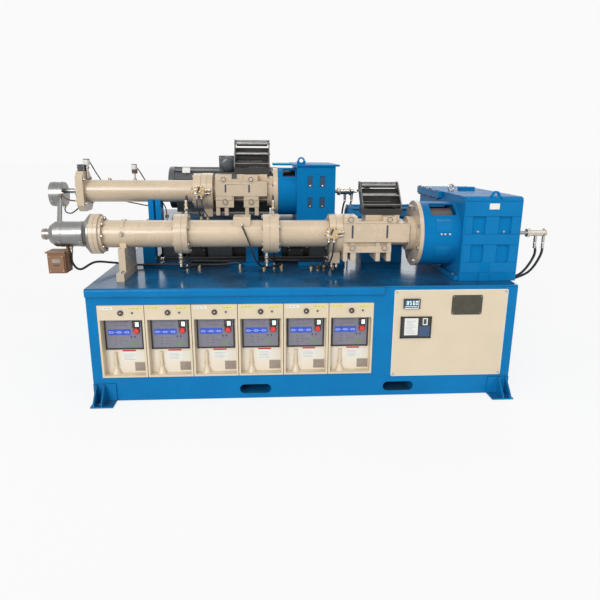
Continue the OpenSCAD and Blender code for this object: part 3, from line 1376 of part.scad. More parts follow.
// Hoses and leads: [route, diameter, heading at the start, heading at the end]
down = [0, 0, -1];
function elbow(x, l, s, y, z) = [x + s * l, y, z - union_r - elbow_l];
function under(m, s) = m + [s * manifold_l, manifold_w / 2, -stub_l];
deck_in = deck_h + gland_h;
frame_in = sub_z + gland_h;
wall_in = deck_l + gland_h;
hose_runs = [
  [[elbow(union_x, union_l, elbow_shares[0], f_axis_y, f_z), [3110, 390, 900], [3060, 450, 760],
    [2960, 520, 680], [2890, 570, 560], [wall_in, 590, 450]], 18, down, [-1, 0, 0]],
  [[elbow(union_x, union_l, elbow_shares[1], f_axis_y, f_z), [3160, 395, 900], [3120, 470, 760],
    [3000, 570, 660], [2900, 640, 530], [wall_in, 660, 420]], 18, down, [-1, 0, 0]],
  [[[vent_gland_x, f_axis_y - vent_block_w / 2 - nub_l, vent_gland_z], [1010, 262, 1100],
    [1050, 262, 1000], [1090, 320, 880], [1130, 480, 815], [1140, 560, deck_in]], 12,
    [0, -1, 0], down],
  [[[low_nipple_x[0], f_axis_y, f_z - f_flange_r - seat_gap - low_nipple_l], [565, 410, 820],
    [610, 500, 812], [660, 590, deck_in]], 16, down, down],
  [[[low_nipple_x[1], f_axis_y, f_z - f_flange_r - seat_gap - low_nipple_l], [1168, 410, 820],
    [1215, 510, 812], [1270, 600, deck_in]], 16, down, down],
  [[[f_collar_x + collar_stub_shares[0] * f_collar_l, f_axis_y, f_z - f_collar_low - stub_l],
    [1612, 430, 812], [1600, 520, 815], [1590, 600, deck_in]], 16, down, down],
  [[[f_collar_x + collar_stub_shares[1] * f_collar_l, f_axis_y, f_z - f_collar_low - stub_l],
    [1658, 440, 812], [1660, 540, 815], [1660, 620, deck_in]], 16, down, down],
  [[[nipple_x[0], f_axis_y, f_z + f_flange_r + seat_gap + nipple_l], [612, 420, 1325],
    [605, 500, 1250], [590, 560, 1080], [575, 595, 900], [570, 600, deck_in]], 14,
    [0, 0, 1], down],
  [[[nipple_x[1], f_axis_y, f_z + f_flange_r + seat_gap + nipple_l], [1206, 420, 1325],
    [1210, 530, 1250], [1215, 600, 1080], [1216, 630, 900], [1216, 640, deck_in]], 14,
    [0, 0, 1], down],
  [[[head_nipple_x, f_axis_y, f_z - head_r - seat_gap - nub_l], [-188, 385, 870], [-150, 420, 815],
    [-70, 500, 850], [30, 580, 830], [200, 640, 800], [500, 640, 800], [800, 625, 800],
    [920, 610, 815], [960, 600, deck_in]], 16, down, down],
  [[[lead_x, r_axis_y, lead_z], [-402, 985, 1152], [-355, 955, 1148], [-312, 942, 1172],
    [r_barrel_x, 940, 1190]], 10, down, [1, 0, 0]],
  [[[r_barrel_x + r_plate_l + stem_r + seat_gap, r_axis_y + sensor_cap_r, 1535], [-213, 1070, 1530],
    [-168, 1115, 1420], [-60, 1120, 1260], [150, 1115, 1200], [270, 1110, 1180],
    [300, 1110, frame_in]], 9, [0, 1, 0], down],
  [[[probe_x, r_axis_y + probe_cap_r, 1490], [160, 1075, 1470], [230, 1120, 1330], [330, 1125, 1200],
    [350, 1120, frame_in]], 9, [0, 1, 0], down],
  [[under(manifold_at, stub_shares[0]), [1570, 240, 950], [1545, 300, 860], [1520, 410, 812],
    [1500, 510, 815], [1490, 560, deck_in]], 12, down, down],
  [[under(manifold_at, stub_shares[1]), [1610, 240, 950], [1590, 300, 860], [1565, 410, 812],
    [1545, 510, 815], [1540, 560, deck_in]], 12, down, down],
  [[under(r_manifold_at, stub_shares[0]), [635, 840, 1200], [652, 845, 1150],
    [660, 850, frame_in]], 10, down, down],
  [[under(r_manifold_at, stub_shares[1]), [675, 840, 1200], [700, 845, 1150],
    [710, 850, frame_in]], 10, down, down],
  [[[r_union_x + r_union_l, r_axis_y, r_z], [1930, 1000, 1330], [2000, 1030, 1330],
    [2060, 1100, 1240], [2080, 1140, 1000], [2080, 1160, deck_in]], 18, [1, 0, 0], down],
  [[elbow(r_union_x, r_union_l, elbow_shares[0], r_axis_y, r_z), [1782, 1020, 1180],
    [1780, 1100, 1040], [1780, 1150, 880], [1780, 1160, deck_in]], 14, down, down],
  [[elbow(r_union_x, r_union_l, elbow_shares[1], r_axis_y, r_z), [1850, 1050, 1222],
    [1850, 1130, 1120], [1850, 1155, 900], [1850, 1160, deck_in]], 14, down, down]];
module hoses() color(black) for (h = hose_runs) tube(h[0], h[1], h[2], h[3], 3);

// Bolts: a hexagon head, a shank in its hole and a nut where the bolt goes right through
module hexagon(h, x = 0) {
  translate([x, 0, 0]) rotate([0, 90, 0]) cylinder(d = hex_d, h = h, $fn = 6);
}
module bolt(l, nut = true) {
  hexagon(hex_h, -hex_h);
  disc(bolt_d / 2, l);
  if (nut) hexagon(hex_h, l);
}
module cap_bolt(l) {
  disc(cap_d / 2, cap_h, -cap_h);
  disc(bolt_d / 2, l);
}
ring_bar = 7;
eye_r = 20;
module fasteners() color(dark_steel) {
  front() {
    round_x(ring_bolts, ring_pcd_r) translate([f_seg1_x + f_head_flange_l + ring_l, 0, 0])
      mirror([1, 0, 0]) cap_bolt(ring_l + f_head_flange_l + stud_l - over);
    round_x(flange_bolts, f_pcd_r) translate([f_seg2_x - f_end_flange_l, 0, 0])
      bolt(f_end_flange_l + f_mid_flange_l);
    round_x(flange_bolts, f_pcd_r) translate([f_seg3_x - f_vent_flange_l, 0, 0])
      bolt(f_vent_flange_l + f_feed_flange_l);
    round_x(flange_bolts, f_pcd_r, collar_turn) translate([f_collar_x, 0, 0])
      bolt(f_collar_l * collar_bolt_share - over, false);
    neck_ring(f_neck_d) translate([f_flange_x, 0, 0]) bolt(f_neck_flange_t + neck_end_t - over, false);
  }
  rear() {
    round_x(flange_bolts, r_pcd_r, collar_turn) translate([r_collar_x - r_end_flange_l, 0, 0])
      bolt(r_end_flange_l + r_collar_l * collar_bolt_share - over, false);
    neck_ring(r_neck_d) translate([r_flange_x, 0, 0]) bolt(r_neck_flange_t + neck_end_t - over, false);
    translate([r_barrel_x + r_plate_l, 0, 0]) plate_bolts() mirror([1, 0, 0])
      cap_bolt(r_plate_l - over);
  }
  front(f_feed_x) feed_bolts(f_feed_l, 0) rotate([0, 0, 90]) bolt(feed_bolt_l, false);
  rear(r_feed_x) feed_bolts(r_feed_l, 1) rotate([0, 0, 90]) bolt(feed_bolt_l, false);
  front(f_gear_x) {
    split_bolts() translate([0, 0, f_lid_t]) rotate([0, 90, 0]) bolt(f_lid_t + f_split_t);
    foot_bolts() translate([0, 0, foot_flange_h]) rotate([0, 90, 0])
      bolt(foot_flange_h - bolt_gap, false);
    // Eye bolt on the lid
    translate([f_gear_w * 0.19, f_mid_y, f_gear_up + f_lid_t]) {
      cylinder(r = bolt_d, h = ring_bar);
      translate([0, 0, ring_bar + eye_r]) rotate([90, 0, 0]) rotate_extrude()
        translate([eye_r, 0]) circle(r = ring_bar);
    }
    pocket_screws(f_pocket_x_shares, f_pocket_z, f_gear_w, f_gear_y - f_axis_y + pocket_d);
  }
  rear(r_gear_x)
    pocket_screws(r_pocket_x_shares, r_pocket_z, r_gear_w, r_gear_y - r_axis_y + pocket_d / 2);
  panel_corners() {
    translate([0, 0, -small_screw_l]) cylinder(d = small_d, h = small_screw_l + panel_t);
    translate([0, 0, panel_t]) cylinder(d = small_head_d, h = small_head_h);
  }
}
module pocket_screws(xs, zs, l, y) {
  for (x = xs) translate([(x[0] + x[1]) / 2 * l, y, zs[1][0] + small_head_d]) rotate([90, 0, 0])
    cylinder(d = small_head_d, h = small_head_h);
}

// Screws: flights in the barrel and feed block, a shank with the feed roller's gear, a cone tip
screw_core_share = 0.62;
pitch_share = 1.6;
flight_end_share = 0.88;
tip_l = 60;
tip_r = 8;
shank_gap = 40;
shank_share = 0.42;
module screw(x0, feed_x, feed_l, d, neck_x, gear_x) {
  l = feed_x + feed_l * flight_end_share - x0;
  translate([x0, 0, 0]) screw_flights(d, l, d * pitch_share, screw_core_share);
  flare(tip_r, d / 2 * screw_core_share - over, tip_l + over, x0 - tip_l);
  shank = min(shank_r, d * shank_share);
  disc(shank, feed_x + feed_l + shank_gap - x0 - l, x0 + l);
  disc(shank_r, gear_x - quill_out + socket_l - neck_x + over, neck_x - over);
  translate([neck_x + neck_end_t + feed_gear_gap, 0, 0]) gear(feed_m, feed_teeth, feed_gear_w, 90);
}
module front_screw() color(steel) front()
  screw(f_seg1_x, f_feed_x, f_feed_l, f_screw_d, f_neck_x, f_gear_x);
module rear_screw() color(steel) rear()
  screw(r_barrel_x + tip_l, r_feed_x, r_feed_l, r_screw_d, r_neck_x, r_gear_x);

// Feed rollers with their journals and gears
module feed_roller(feed_x, feed_l, i, neck_x) {
  s = roller_shares[i] * feed_l;
  gear_at = neck_x + neck_end_t + feed_gear_gap;
  translate([0, nip_l, 0]) {
    disc(feed_roller_d / 2, s[1] - s[0], feed_x + s[0]);
    disc(roller_shaft_r, gear_at - feed_x - s[0] + journal_l + feed_gear_w, feed_x + s[0] - journal_l);
    translate([gear_at, 0, 0]) gear(feed_m, feed_teeth, feed_gear_w, -90 + 180 / feed_teeth);
  }
}
module front_feed_roller() color(steel) front() feed_roller(f_feed_x, f_feed_l, 0, f_neck_x);
module rear_feed_roller() color(steel) rear() feed_roller(r_feed_x, r_feed_l, 1, r_neck_x);

// Output gears on their quills, with the socket for the screw and the water rod
module output_gear(gear_x, gear_end, out_x, m, n, w, rod_x) difference() {
  union() {
    disc(quill_r, out_x + w + tail_step / 2 - gear_x + quill_out, gear_x - quill_out);
    translate([out_x, 0, 0]) gear(m, n, w, 90);
    disc(tail_r, gear_end - out_x - w, out_x + w);
    disc(union_rod_r, rod_x + spigot_l - over - gear_end, gear_end);
  }
  disc(shank_r, socket_l + over, gear_x - quill_out - over);
}
module front_output_gear() color(dark_steel) front()
  output_gear(f_gear_x, f_gear_end, f_out_x, f_out_m, f_out_teeth, f_out_w, union_x);
module rear_output_gear() color(dark_steel) rear()
  output_gear(r_gear_x, r_gear_end, r_out_x, r_out_m, r_out_teeth, r_out_w, r_union_x);

// Intermediate gears: a pinion and a bull gear on one shaft
module wheel(p, turn) { translate([p[0], 0, 0]) gear(p[1], p[2], p[3], turn); }
module mid_gear(gear_x, gear_end, y, pinion, bull) translate([0, y, 0]) {
  disc(mid_shaft_r, gear_end - gear_x - over, gear_x + over / 2);
  wheel(pinion, -90 + 180 / pinion[2]);
  wheel(bull, 90);
}
module front_mid_gear() color(dark_steel) front() mid_gear(f_gear_x, f_gear_end, f_mid_y,
  [f_out_x, f_out_m, f_out_pinion, f_out_w], [f_in_x, f_in_m, f_in_teeth, f_in_w]);
module rear_mid_gear() color(dark_steel) rear() mid_gear(r_gear_x, r_gear_end, r_mid_y,
  [r_out_x, r_out_m, r_out_pinion, r_out_w], [r_in_x, r_in_m, r_in_teeth, r_in_w]);

// Drive shafts: the motor's rotor, its shaft and the first pinion
module drive_shaft(motor_x, l, d, y, gear_end, pinion) translate([0, y, 0]) {
  disc(drive_shaft_r, gear_end - over / 2 - motor_x - cap_l + r_bear_w, motor_x + cap_l - r_bear_w);
  disc(rotor_r(d), l - 2 * cap_l - 2 * rotor_gap, motor_x + cap_l + rotor_gap);
  wheel(pinion, -90 + 180 / pinion[2]);
}
module front_drive_shaft() color(dark_steel) front() drive_shaft(f_motor_x, f_motor_l,
  f_motor_d, f_drive_y, f_gear_end, [f_in_x, f_in_m, f_in_pinion, f_in_w]);
module rear_drive_shaft() color(dark_steel) rear() drive_shaft(r_motor_x, r_motor_l,
  r_motor_d, r_drive_y, r_gear_end, [r_in_x, r_in_m, r_in_pinion, r_in_w]);

// The whole part, moved so that it stands centred on its origin
module put() { translate([-mid_x, -mid_y, 0]) children(); }
put() cabinet();
put() deck();
put() corner_feet();
put() rear_sub_base();
put() tcu_casings();
put() tcu_fronts();
put() tcu_controllers();
put() tcu_button(0);  // tcu_button_1
put() tcu_button(1);  // tcu_button_2
put() tcu_button(2);  // tcu_button_3
put() tcu_button(3);  // tcu_button_4
put() tcu_button(4);  // tcu_button_5
put() tcu_button(5);  // tcu_button_6
put() control_panel();
put() instruments();
put() front_barrel_1();
put() front_barrel_2();
put() front_barrel_3();
put() vent_block();
put() front_head();
put() head_link();
put() head_box();
put() front_stand();
put() front_feed_block();
put() front_hopper();
put() front_neck_flange();
put() front_gearbox();
put() front_motor();
put() front_union();
put() rear_barrel();
put() rear_head();
put() rear_feed_block();
put() rear_hopper();
put() rear_neck_flange();
put() rear_gearbox();
put() rear_motor();
put() rear_union();
put() water_collars();
put() feed_covers();
put() gearbox_covers();
put() bearings();
put() brass_fittings();
put() hoses();
put() fasteners();
put() front_screw();
put() front_output_gear();
put() front_mid_gear();
put() front_drive_shaft();
put() front_feed_roller();
put() front_top_roller();
put() front_mid_roller();
put() rear_screw();
put() rear_output_gear();
put() rear_mid_gear();
put() rear_drive_shaft();
put() rear_feed_roller();
put() rear_top_roller();
put() rear_mid_roller();
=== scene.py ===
# %% [markdown]
# # Dressing a twin rubber extruder
# The real object is a floor machine: two screw extruders, one low in front and one higher
# behind it, on a blue cabinet with six temperature units. The CAD model already holds every
# solid, so this lesson leaves them where they are, gives each its finish, and adds what a
# solid model leaves out: dials, keys, sockets in bolts, ferrules, cables and blank labels.
# Another way is to model everything here, but then nothing would fit the moving parts.

import json
import math

import bmesh
import bpy
from mathutils import Matrix, Vector


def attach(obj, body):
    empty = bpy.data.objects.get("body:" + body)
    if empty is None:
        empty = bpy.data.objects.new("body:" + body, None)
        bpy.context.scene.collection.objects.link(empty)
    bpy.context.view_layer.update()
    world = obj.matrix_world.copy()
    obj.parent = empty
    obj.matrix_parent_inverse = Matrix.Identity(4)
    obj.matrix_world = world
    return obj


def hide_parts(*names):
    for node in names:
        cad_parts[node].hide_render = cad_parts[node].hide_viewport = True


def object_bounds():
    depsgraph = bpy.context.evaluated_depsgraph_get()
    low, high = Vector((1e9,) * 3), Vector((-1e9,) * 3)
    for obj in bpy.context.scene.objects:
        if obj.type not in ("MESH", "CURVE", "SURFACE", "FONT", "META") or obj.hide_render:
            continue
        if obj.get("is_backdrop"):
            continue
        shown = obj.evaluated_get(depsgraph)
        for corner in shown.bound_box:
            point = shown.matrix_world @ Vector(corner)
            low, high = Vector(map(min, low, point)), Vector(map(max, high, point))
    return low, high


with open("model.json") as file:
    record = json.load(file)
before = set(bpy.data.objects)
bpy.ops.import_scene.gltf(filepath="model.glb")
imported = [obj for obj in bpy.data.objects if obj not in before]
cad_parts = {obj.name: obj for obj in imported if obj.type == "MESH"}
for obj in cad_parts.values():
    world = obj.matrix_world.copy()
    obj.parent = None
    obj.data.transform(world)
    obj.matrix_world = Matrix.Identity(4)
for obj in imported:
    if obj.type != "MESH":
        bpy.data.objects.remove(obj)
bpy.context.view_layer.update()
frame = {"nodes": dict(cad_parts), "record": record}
nodes = frame["nodes"]

# %% [markdown]
# The machine was laid out in millimetres from the left end of its deck, the face of its
# cabinet and the floor. The row's frame has its origin in the middle of the floor area, in
# metres. One helper turns the first into the second, so that every number below can be
# checked against a tape measure.

# %% Machine millimetres to metres
MIDDLE = (1337.0, 850.0)


def at(x, y, z):
    return Vector(((x - MIDDLE[0]) / 1000, (y - MIDDLE[1]) / 1000, z / 1000))


FRONT_AXIS = (380.0, 1070.0)
REAR_AXIS = (1000.0, 1316.0)
print("front screw axis", at(0, *FRONT_AXIS), "rear screw axis", at(0, *REAR_AXIS))

# %% [markdown]
# The photograph was taken from the left of the middle, a little above the gearboxes. The
# place and the angles come from fitting the edges of the cabinet and the two screw axes. A
# camera can be aimed with a Track To constraint, but a matrix from three angles is exact.

# %% The camera
CAMERA_AT = (1146.9, -3469.2, 1638.7)
YAW, PITCH, ROLL = (math.radians(a) for a in (3.718, 15.282, 0.387))
FOCAL_PIXELS = 551.2
FRAME_PIXELS = 600
SENSOR = 36.0

ahead = Vector(
    (math.sin(YAW) * math.cos(PITCH), math.cos(YAW) * math.cos(PITCH), -math.sin(PITCH))
)
level = Vector((math.cos(YAW), -math.sin(YAW), 0))
upward = level.cross(ahead)
side = level * math.cos(ROLL) + upward * math.sin(ROLL)
top = upward * math.cos(ROLL) - level * math.sin(ROLL)
camera_data = bpy.data.cameras.new("photo_camera")
camera_data.sensor_width = SENSOR
camera_data.lens = FOCAL_PIXELS / FRAME_PIXELS * SENSOR
camera = bpy.data.objects.new("photo_camera", camera_data)
turned = Matrix((side, top, -ahead)).transposed().to_4x4()
camera.matrix_world = Matrix.Translation(at(*CAMERA_AT)) @ turned
bpy.context.scene.collection.objects.link(camera)
bpy.context.scene.camera = camera
print("lens", round(camera_data.lens, 2), "mm")

# %% [markdown]
# Blender's shaders are graphs of nodes. Four small helpers keep the cells short: one feeds an
# input from another node or with a plain value, one makes a node and feeds it, one multiplies
# two masks for a group's output, and one makes an empty group with named inputs and outputs.
# The groups hold the effects that several finishes share.

# %% Helpers for shader nodes


def feed(tree, socket, value):
    """Join a node or an output to an input; set anything else on it."""
    if isinstance(value, bpy.types.Node):
        value = value.outputs[0]
    if isinstance(value, bpy.types.NodeSocket):
        tree.links.new(value, socket)
    else:
        socket.default_value = value


def put(tree, kind, *feeds, **values):
    """A new node. Feeds go to its inputs in order, values to the attribute or input named."""
    made = tree.nodes.new(kind)
    for key, value in values.items():
        if hasattr(made, key):
            setattr(made, key, value)
        else:
            feed(tree, made.inputs[key.replace("_", " ")], value)
    for socket, value in zip(made.inputs, feeds):
        feed(tree, socket, value)
    return made


def mask_out(tree, a, b, amount, end):
    """The product of two masks, scaled by an amount, is what a group puts out."""
    both = put(tree, "ShaderNodeMath", a, b, operation="MULTIPLY")
    share = put(tree, "ShaderNodeMath", both, amount, operation="MULTIPLY", use_clamp=True)
    feed(tree, end.inputs["Mask"], share)


def group(name, inputs, outputs):
    """An empty node group: inputs are (name, socket kind, default), outputs (name, kind)."""
    tree = bpy.data.node_groups.new(name, "ShaderNodeTree")
    for title, kind, value in inputs:
        made = tree.interface.new_socket(title, in_out="INPUT", socket_type=kind)
        made.default_value = value
    for title, kind in outputs:
        tree.interface.new_socket(title, in_out="OUTPUT", socket_type=kind)
    return tree, tree.nodes.new("NodeGroupInput"), tree.nodes.new("NodeGroupOutput")


FLOAT, COLOUR = "NodeSocketFloat", "NodeSocketColor"
WHITE = (1.0, 1.0, 1.0, 1.0)

# %% [markdown]
# Sprayed sheet is never one flat colour: light falls off in soft clouds, and there is a fine
# speck in it. A photograph could be projected, but noise has no seams and needs no UV map.
# The group takes a colour and gives back the same colour, mottled, and the clouds as a mask.

# %% Group: mottled colour
mottle, start, end = group(
    "mottle",
    [("Colour", COLOUR, WHITE), ("Amount", FLOAT, 0.1), ("Scale", FLOAT, 6.0)],
    [("Colour", COLOUR), ("Mask", FLOAT)],
)
plain = start.outputs["Colour"]
spot = put(mottle, "ShaderNodeTexCoord").outputs["Object"]
clouds = put(mottle, "ShaderNodeTexNoise", spot, Scale=start.outputs["Scale"], Detail=5.0,
             Roughness=0.62)
spread = put(mottle, "ShaderNodeMapRange", clouds, From_Min=0.32, From_Max=0.68)
darker = put(mottle, "ShaderNodeMath", 1.0, start.outputs["Amount"], operation="SUBTRACT",
             use_clamp=True)
shade = put(mottle, "ShaderNodeMixRGB", 1.0, plain, darker, blend_type="MULTIPLY")
blend = put(mottle, "ShaderNodeMixRGB", spread, shade, plain)
feed(mottle, end.inputs["Colour"], blend)
feed(mottle, end.inputs["Mask"], spread)

# %% [markdown]
# Paint wears first where hands, slings and tools touch: along edges. Cycles' Bevel node
# gives the normal that a rounded edge would have, and where it leaves the true normal there
# is an edge. Pointiness would need an even, fine mesh, which CAD solids don't have.

# %% Group: worn edges
edge_wear, start, end = group(
    "edge_wear", [("Radius", FLOAT, 0.003), ("Amount", FLOAT, 0.5)], [("Mask", FLOAT)]
)
spot = put(edge_wear, "ShaderNodeTexCoord").outputs["Object"]
true_face = put(edge_wear, "ShaderNodeNewGeometry").outputs["Normal"]
round_face = put(edge_wear, "ShaderNodeBevel", Radius=start.outputs["Radius"], samples=4)
facing = put(edge_wear, "ShaderNodeVectorMath", round_face, true_face, operation="DOT_PRODUCT")
chips = put(edge_wear, "ShaderNodeTexNoise", spot, Scale=55.0, Detail=6.0, Roughness=0.7)
edge = put(edge_wear, "ShaderNodeMapRange", facing.outputs["Value"], From_Min=0.995,
           From_Max=0.90)
broken = put(edge_wear, "ShaderNodeMapRange", chips, From_Min=0.48, From_Max=0.62)
mask_out(edge_wear, edge, broken, start.outputs["Amount"], end)

# %% [markdown]
# Workshop dust settles on faces that look up, in patches: pale on cream, and dark with rubber
# on blue. On blue that dark layer is also painted shade and a painted reflection of the dark
# machinery above. The face's own normal says how far it looks up, and noise breaks the layer.
# Painting it by hand would look as good, but it would be lost with each change of the mesh.

# %% Group: settled dust, and painted shade on blue
dust_and_shade, start, end = group("dust_and_shade", [("Amount", FLOAT, 0.2)], [("Mask", FLOAT)])
spot = put(dust_and_shade, "ShaderNodeTexCoord").outputs["Object"]
true_face = put(dust_and_shade, "ShaderNodeNewGeometry").outputs["Normal"]
split = put(dust_and_shade, "ShaderNodeSeparateXYZ", true_face)
patches = put(dust_and_shade, "ShaderNodeTexNoise", spot, Scale=3.0, Detail=5.0, Roughness=0.6)
upper = put(dust_and_shade, "ShaderNodeMapRange", split.outputs["Z"], From_Min=0.35, From_Max=1.0)
patchy = put(dust_and_shade, "ShaderNodeMapRange", patches, From_Min=0.2, From_Max=0.62)
mask_out(dust_and_shade, upper, patchy, start.outputs["Amount"], end)

# %% [markdown]
# Sprayed enamel dries with a faint orange peel, and cast iron under it with a coarser skin.
# One group gives a height for a Bump node: a fine noise, and a coarse one for castings.

# %% Group: paint skin
skin, start, end = group(
    "skin", [("Fine", FLOAT, 260.0), ("Cast", FLOAT, 0.0)], [("Height", FLOAT)]
)
spot = put(skin, "ShaderNodeTexCoord").outputs["Object"]
peel = put(skin, "ShaderNodeTexNoise", spot, Scale=start.outputs["Fine"], Detail=2.0)
lumps = put(skin, "ShaderNodeTexNoise", spot, Scale=46.0, Detail=5.0, Roughness=0.7)
cast = put(skin, "ShaderNodeMath", lumps, start.outputs["Cast"], peel, operation="MULTIPLY_ADD")
feed(skin, end.inputs["Height"], cast)

# %% [markdown]
# Turned and ground steel carries fine lines from the tool. On parts that were turned about
# the machine's length the lines run round it, so noise is stretched: many changes along x
# and few across. An anisotropic shader would do it too, but it needs tangents from a UV map.

# %% Group: tool marks
tool_marks, start, end = group(
    "tool_marks", [("Along", FLOAT, 1400.0)], [("Height", FLOAT), ("Mask", FLOAT)]
)
spot = put(tool_marks, "ShaderNodeTexCoord").outputs["Object"]
split = put(tool_marks, "ShaderNodeSeparateXYZ", spot).outputs
squeeze = put(tool_marks, "ShaderNodeMath", split["X"], start.outputs["Along"],
              operation="MULTIPLY")
gather = put(tool_marks, "ShaderNodeCombineXYZ", squeeze, split["Y"], split["Z"])
lines = put(tool_marks, "ShaderNodeTexNoise", gather, Scale=1.0, Detail=3.0)
stains = put(tool_marks, "ShaderNodeTexNoise", spot, Scale=14.0, Detail=6.0, Roughness=0.7)
feed(tool_marks, end.inputs["Height"], lines)
feed(tool_marks, end.inputs["Mask"], stains)

# %% [markdown]
# Each finish is one Principled shader. Painted steel takes the mottled colour, then chips
# along its edges, then dust on faces that look up, which on the blue paints is painted shade
# as well. Its gloss varies with the clouds, because wiped and unwiped places shine
# differently. The clear coat is set on the shader's own socket.

# %% Painted metal


def use(tree, shared, **values):
    return put(tree, "ShaderNodeGroup", node_tree=shared, **values)


def begin(name, **plain):
    """A material with its Principled node; plain values go on the shader's sockets."""
    material = bpy.data.materials.new(name)
    material.use_nodes = True
    shader = material.node_tree.nodes["Principled BSDF"]
    for key, value in plain.items():
        shader.inputs[key.replace("_", " ")].default_value = value
    return material, material.node_tree, shader


def over(tree, mask, under, colour):
    """A plain colour laid over another socket's colour where the mask is 1."""
    return put(tree, "ShaderNodeMixRGB", mask, under, (*colour, 1))


def dress(tree, shader, colour, mask, gloss, height, depth, far):
    """Feed the shader's colour, its roughness (a mask between two bounds) and its bump."""
    spread = put(tree, "ShaderNodeMapRange", mask, To_Min=gloss[0], To_Max=gloss[1])
    relief = put(tree, "ShaderNodeBump", Height=height, Strength=depth, Distance=far)
    for socket, value in (("Base Color", colour), ("Roughness", spread), ("Normal", relief)):
        feed(tree, shader.inputs[socket], value)


DUST_COLOUR = (0.42, 0.38, 0.33)
# Dark rubber dust on the blue paints, also painted shade and a painted reflection of the dark
# machinery above, on faces that look up
RUBBER_DUST_AND_SHADE = (0.020, 0.045, 0.075)
PRIMER = (0.16, 0.15, 0.14)


def paint(name, colour, gloss=(0.22, 0.4), coat=0.4, wear=0.5, dust_and_shade_amount=0.25, cast=0.0,
          amount=0.12, under=PRIMER, shine=WHITE, level=0.5, dust_and_shade_tone=DUST_COLOUR):
    material, tree, shader = begin(name, Coat_Weight=coat, Coat_Roughness=0.08,
                                   Specular_Tint=shine, Specular_IOR_Level=level)
    tone = use(tree, mottle, Colour=(*colour, 1), Amount=amount, Scale=5.0)
    worn = use(tree, edge_wear, Radius=0.0025, Amount=wear)
    dust_and_shade_mask = use(tree, dust_and_shade, Amount=dust_and_shade_amount)
    face = use(tree, skin, Fine=240.0, Cast=cast)
    # Dust on faces that look up; in the blue paints' dark tone it is painted shade as well
    with_dust_and_shade = over(tree, dust_and_shade_mask, over(tree, worn, tone, under), dust_and_shade_tone)
    dress(tree, shader, with_dust_and_shade, tone.outputs["Mask"], gloss, face, 0.12 + cast * 0.3, 0.0006)
    return material


# %% [markdown]
# Bare metal has no coat. Its colour stays plain apart from faint stains, its roughness
# follows the stains, and the tool marks go into the bump.

# %% Bare metal


def metal(name, colour, gloss=(0.18, 0.34), along=1400.0, stain=(0.25, 0.22, 0.18), stains=0.3,
          depth=0.1):
    material, tree, shader = begin(name, Metallic=1.0)
    marks = use(tree, tool_marks, Along=along)
    tone = use(tree, mottle, Colour=(*colour, 1), Amount=0.15, Scale=22.0)
    spots = put(tree, "ShaderNodeMapRange", marks.outputs["Mask"], From_Min=0.5, From_Max=0.8,
                To_Max=stains)
    stained = over(tree, spots, tone, stain)
    dress(tree, shader, stained, marks.outputs["Mask"], gloss, marks, depth, 0.0003)
    return material


# %% [markdown]
# Plastic, rubber and printed film are dull and even, with a fine grain and a little dust.

# %% Plastic, rubber and film


def plastic(name, colour, gloss=(0.35, 0.5), grain=700.0, depth=0.06, amount=0.08, dust_and_shade_amount=0.15,
            coat=0.0):
    material, tree, shader = begin(name, Coat_Weight=coat, Coat_Roughness=0.1)
    tone = use(tree, mottle, Colour=(*colour, 1), Amount=amount, Scale=30.0)
    dust_and_shade_mask = use(tree, dust_and_shade, Amount=dust_and_shade_amount)
    face = use(tree, skin, Fine=grain, Cast=0.0)
    with_dust_and_shade = over(tree, dust_and_shade_mask, tone, DUST_COLOUR)
    dress(tree, shader, with_dust_and_shade, tone.outputs["Mask"], gloss, face, depth, 0.0004)
    return material


# %% [markdown]
# The list of finishes. The colours were judged against the photograph: a clear
# mid blue on the cabinet, the same blue with less shine on the gearboxes, warm cream on
# everything that heats, steel-bright heads, and dark grey motors and hoppers.

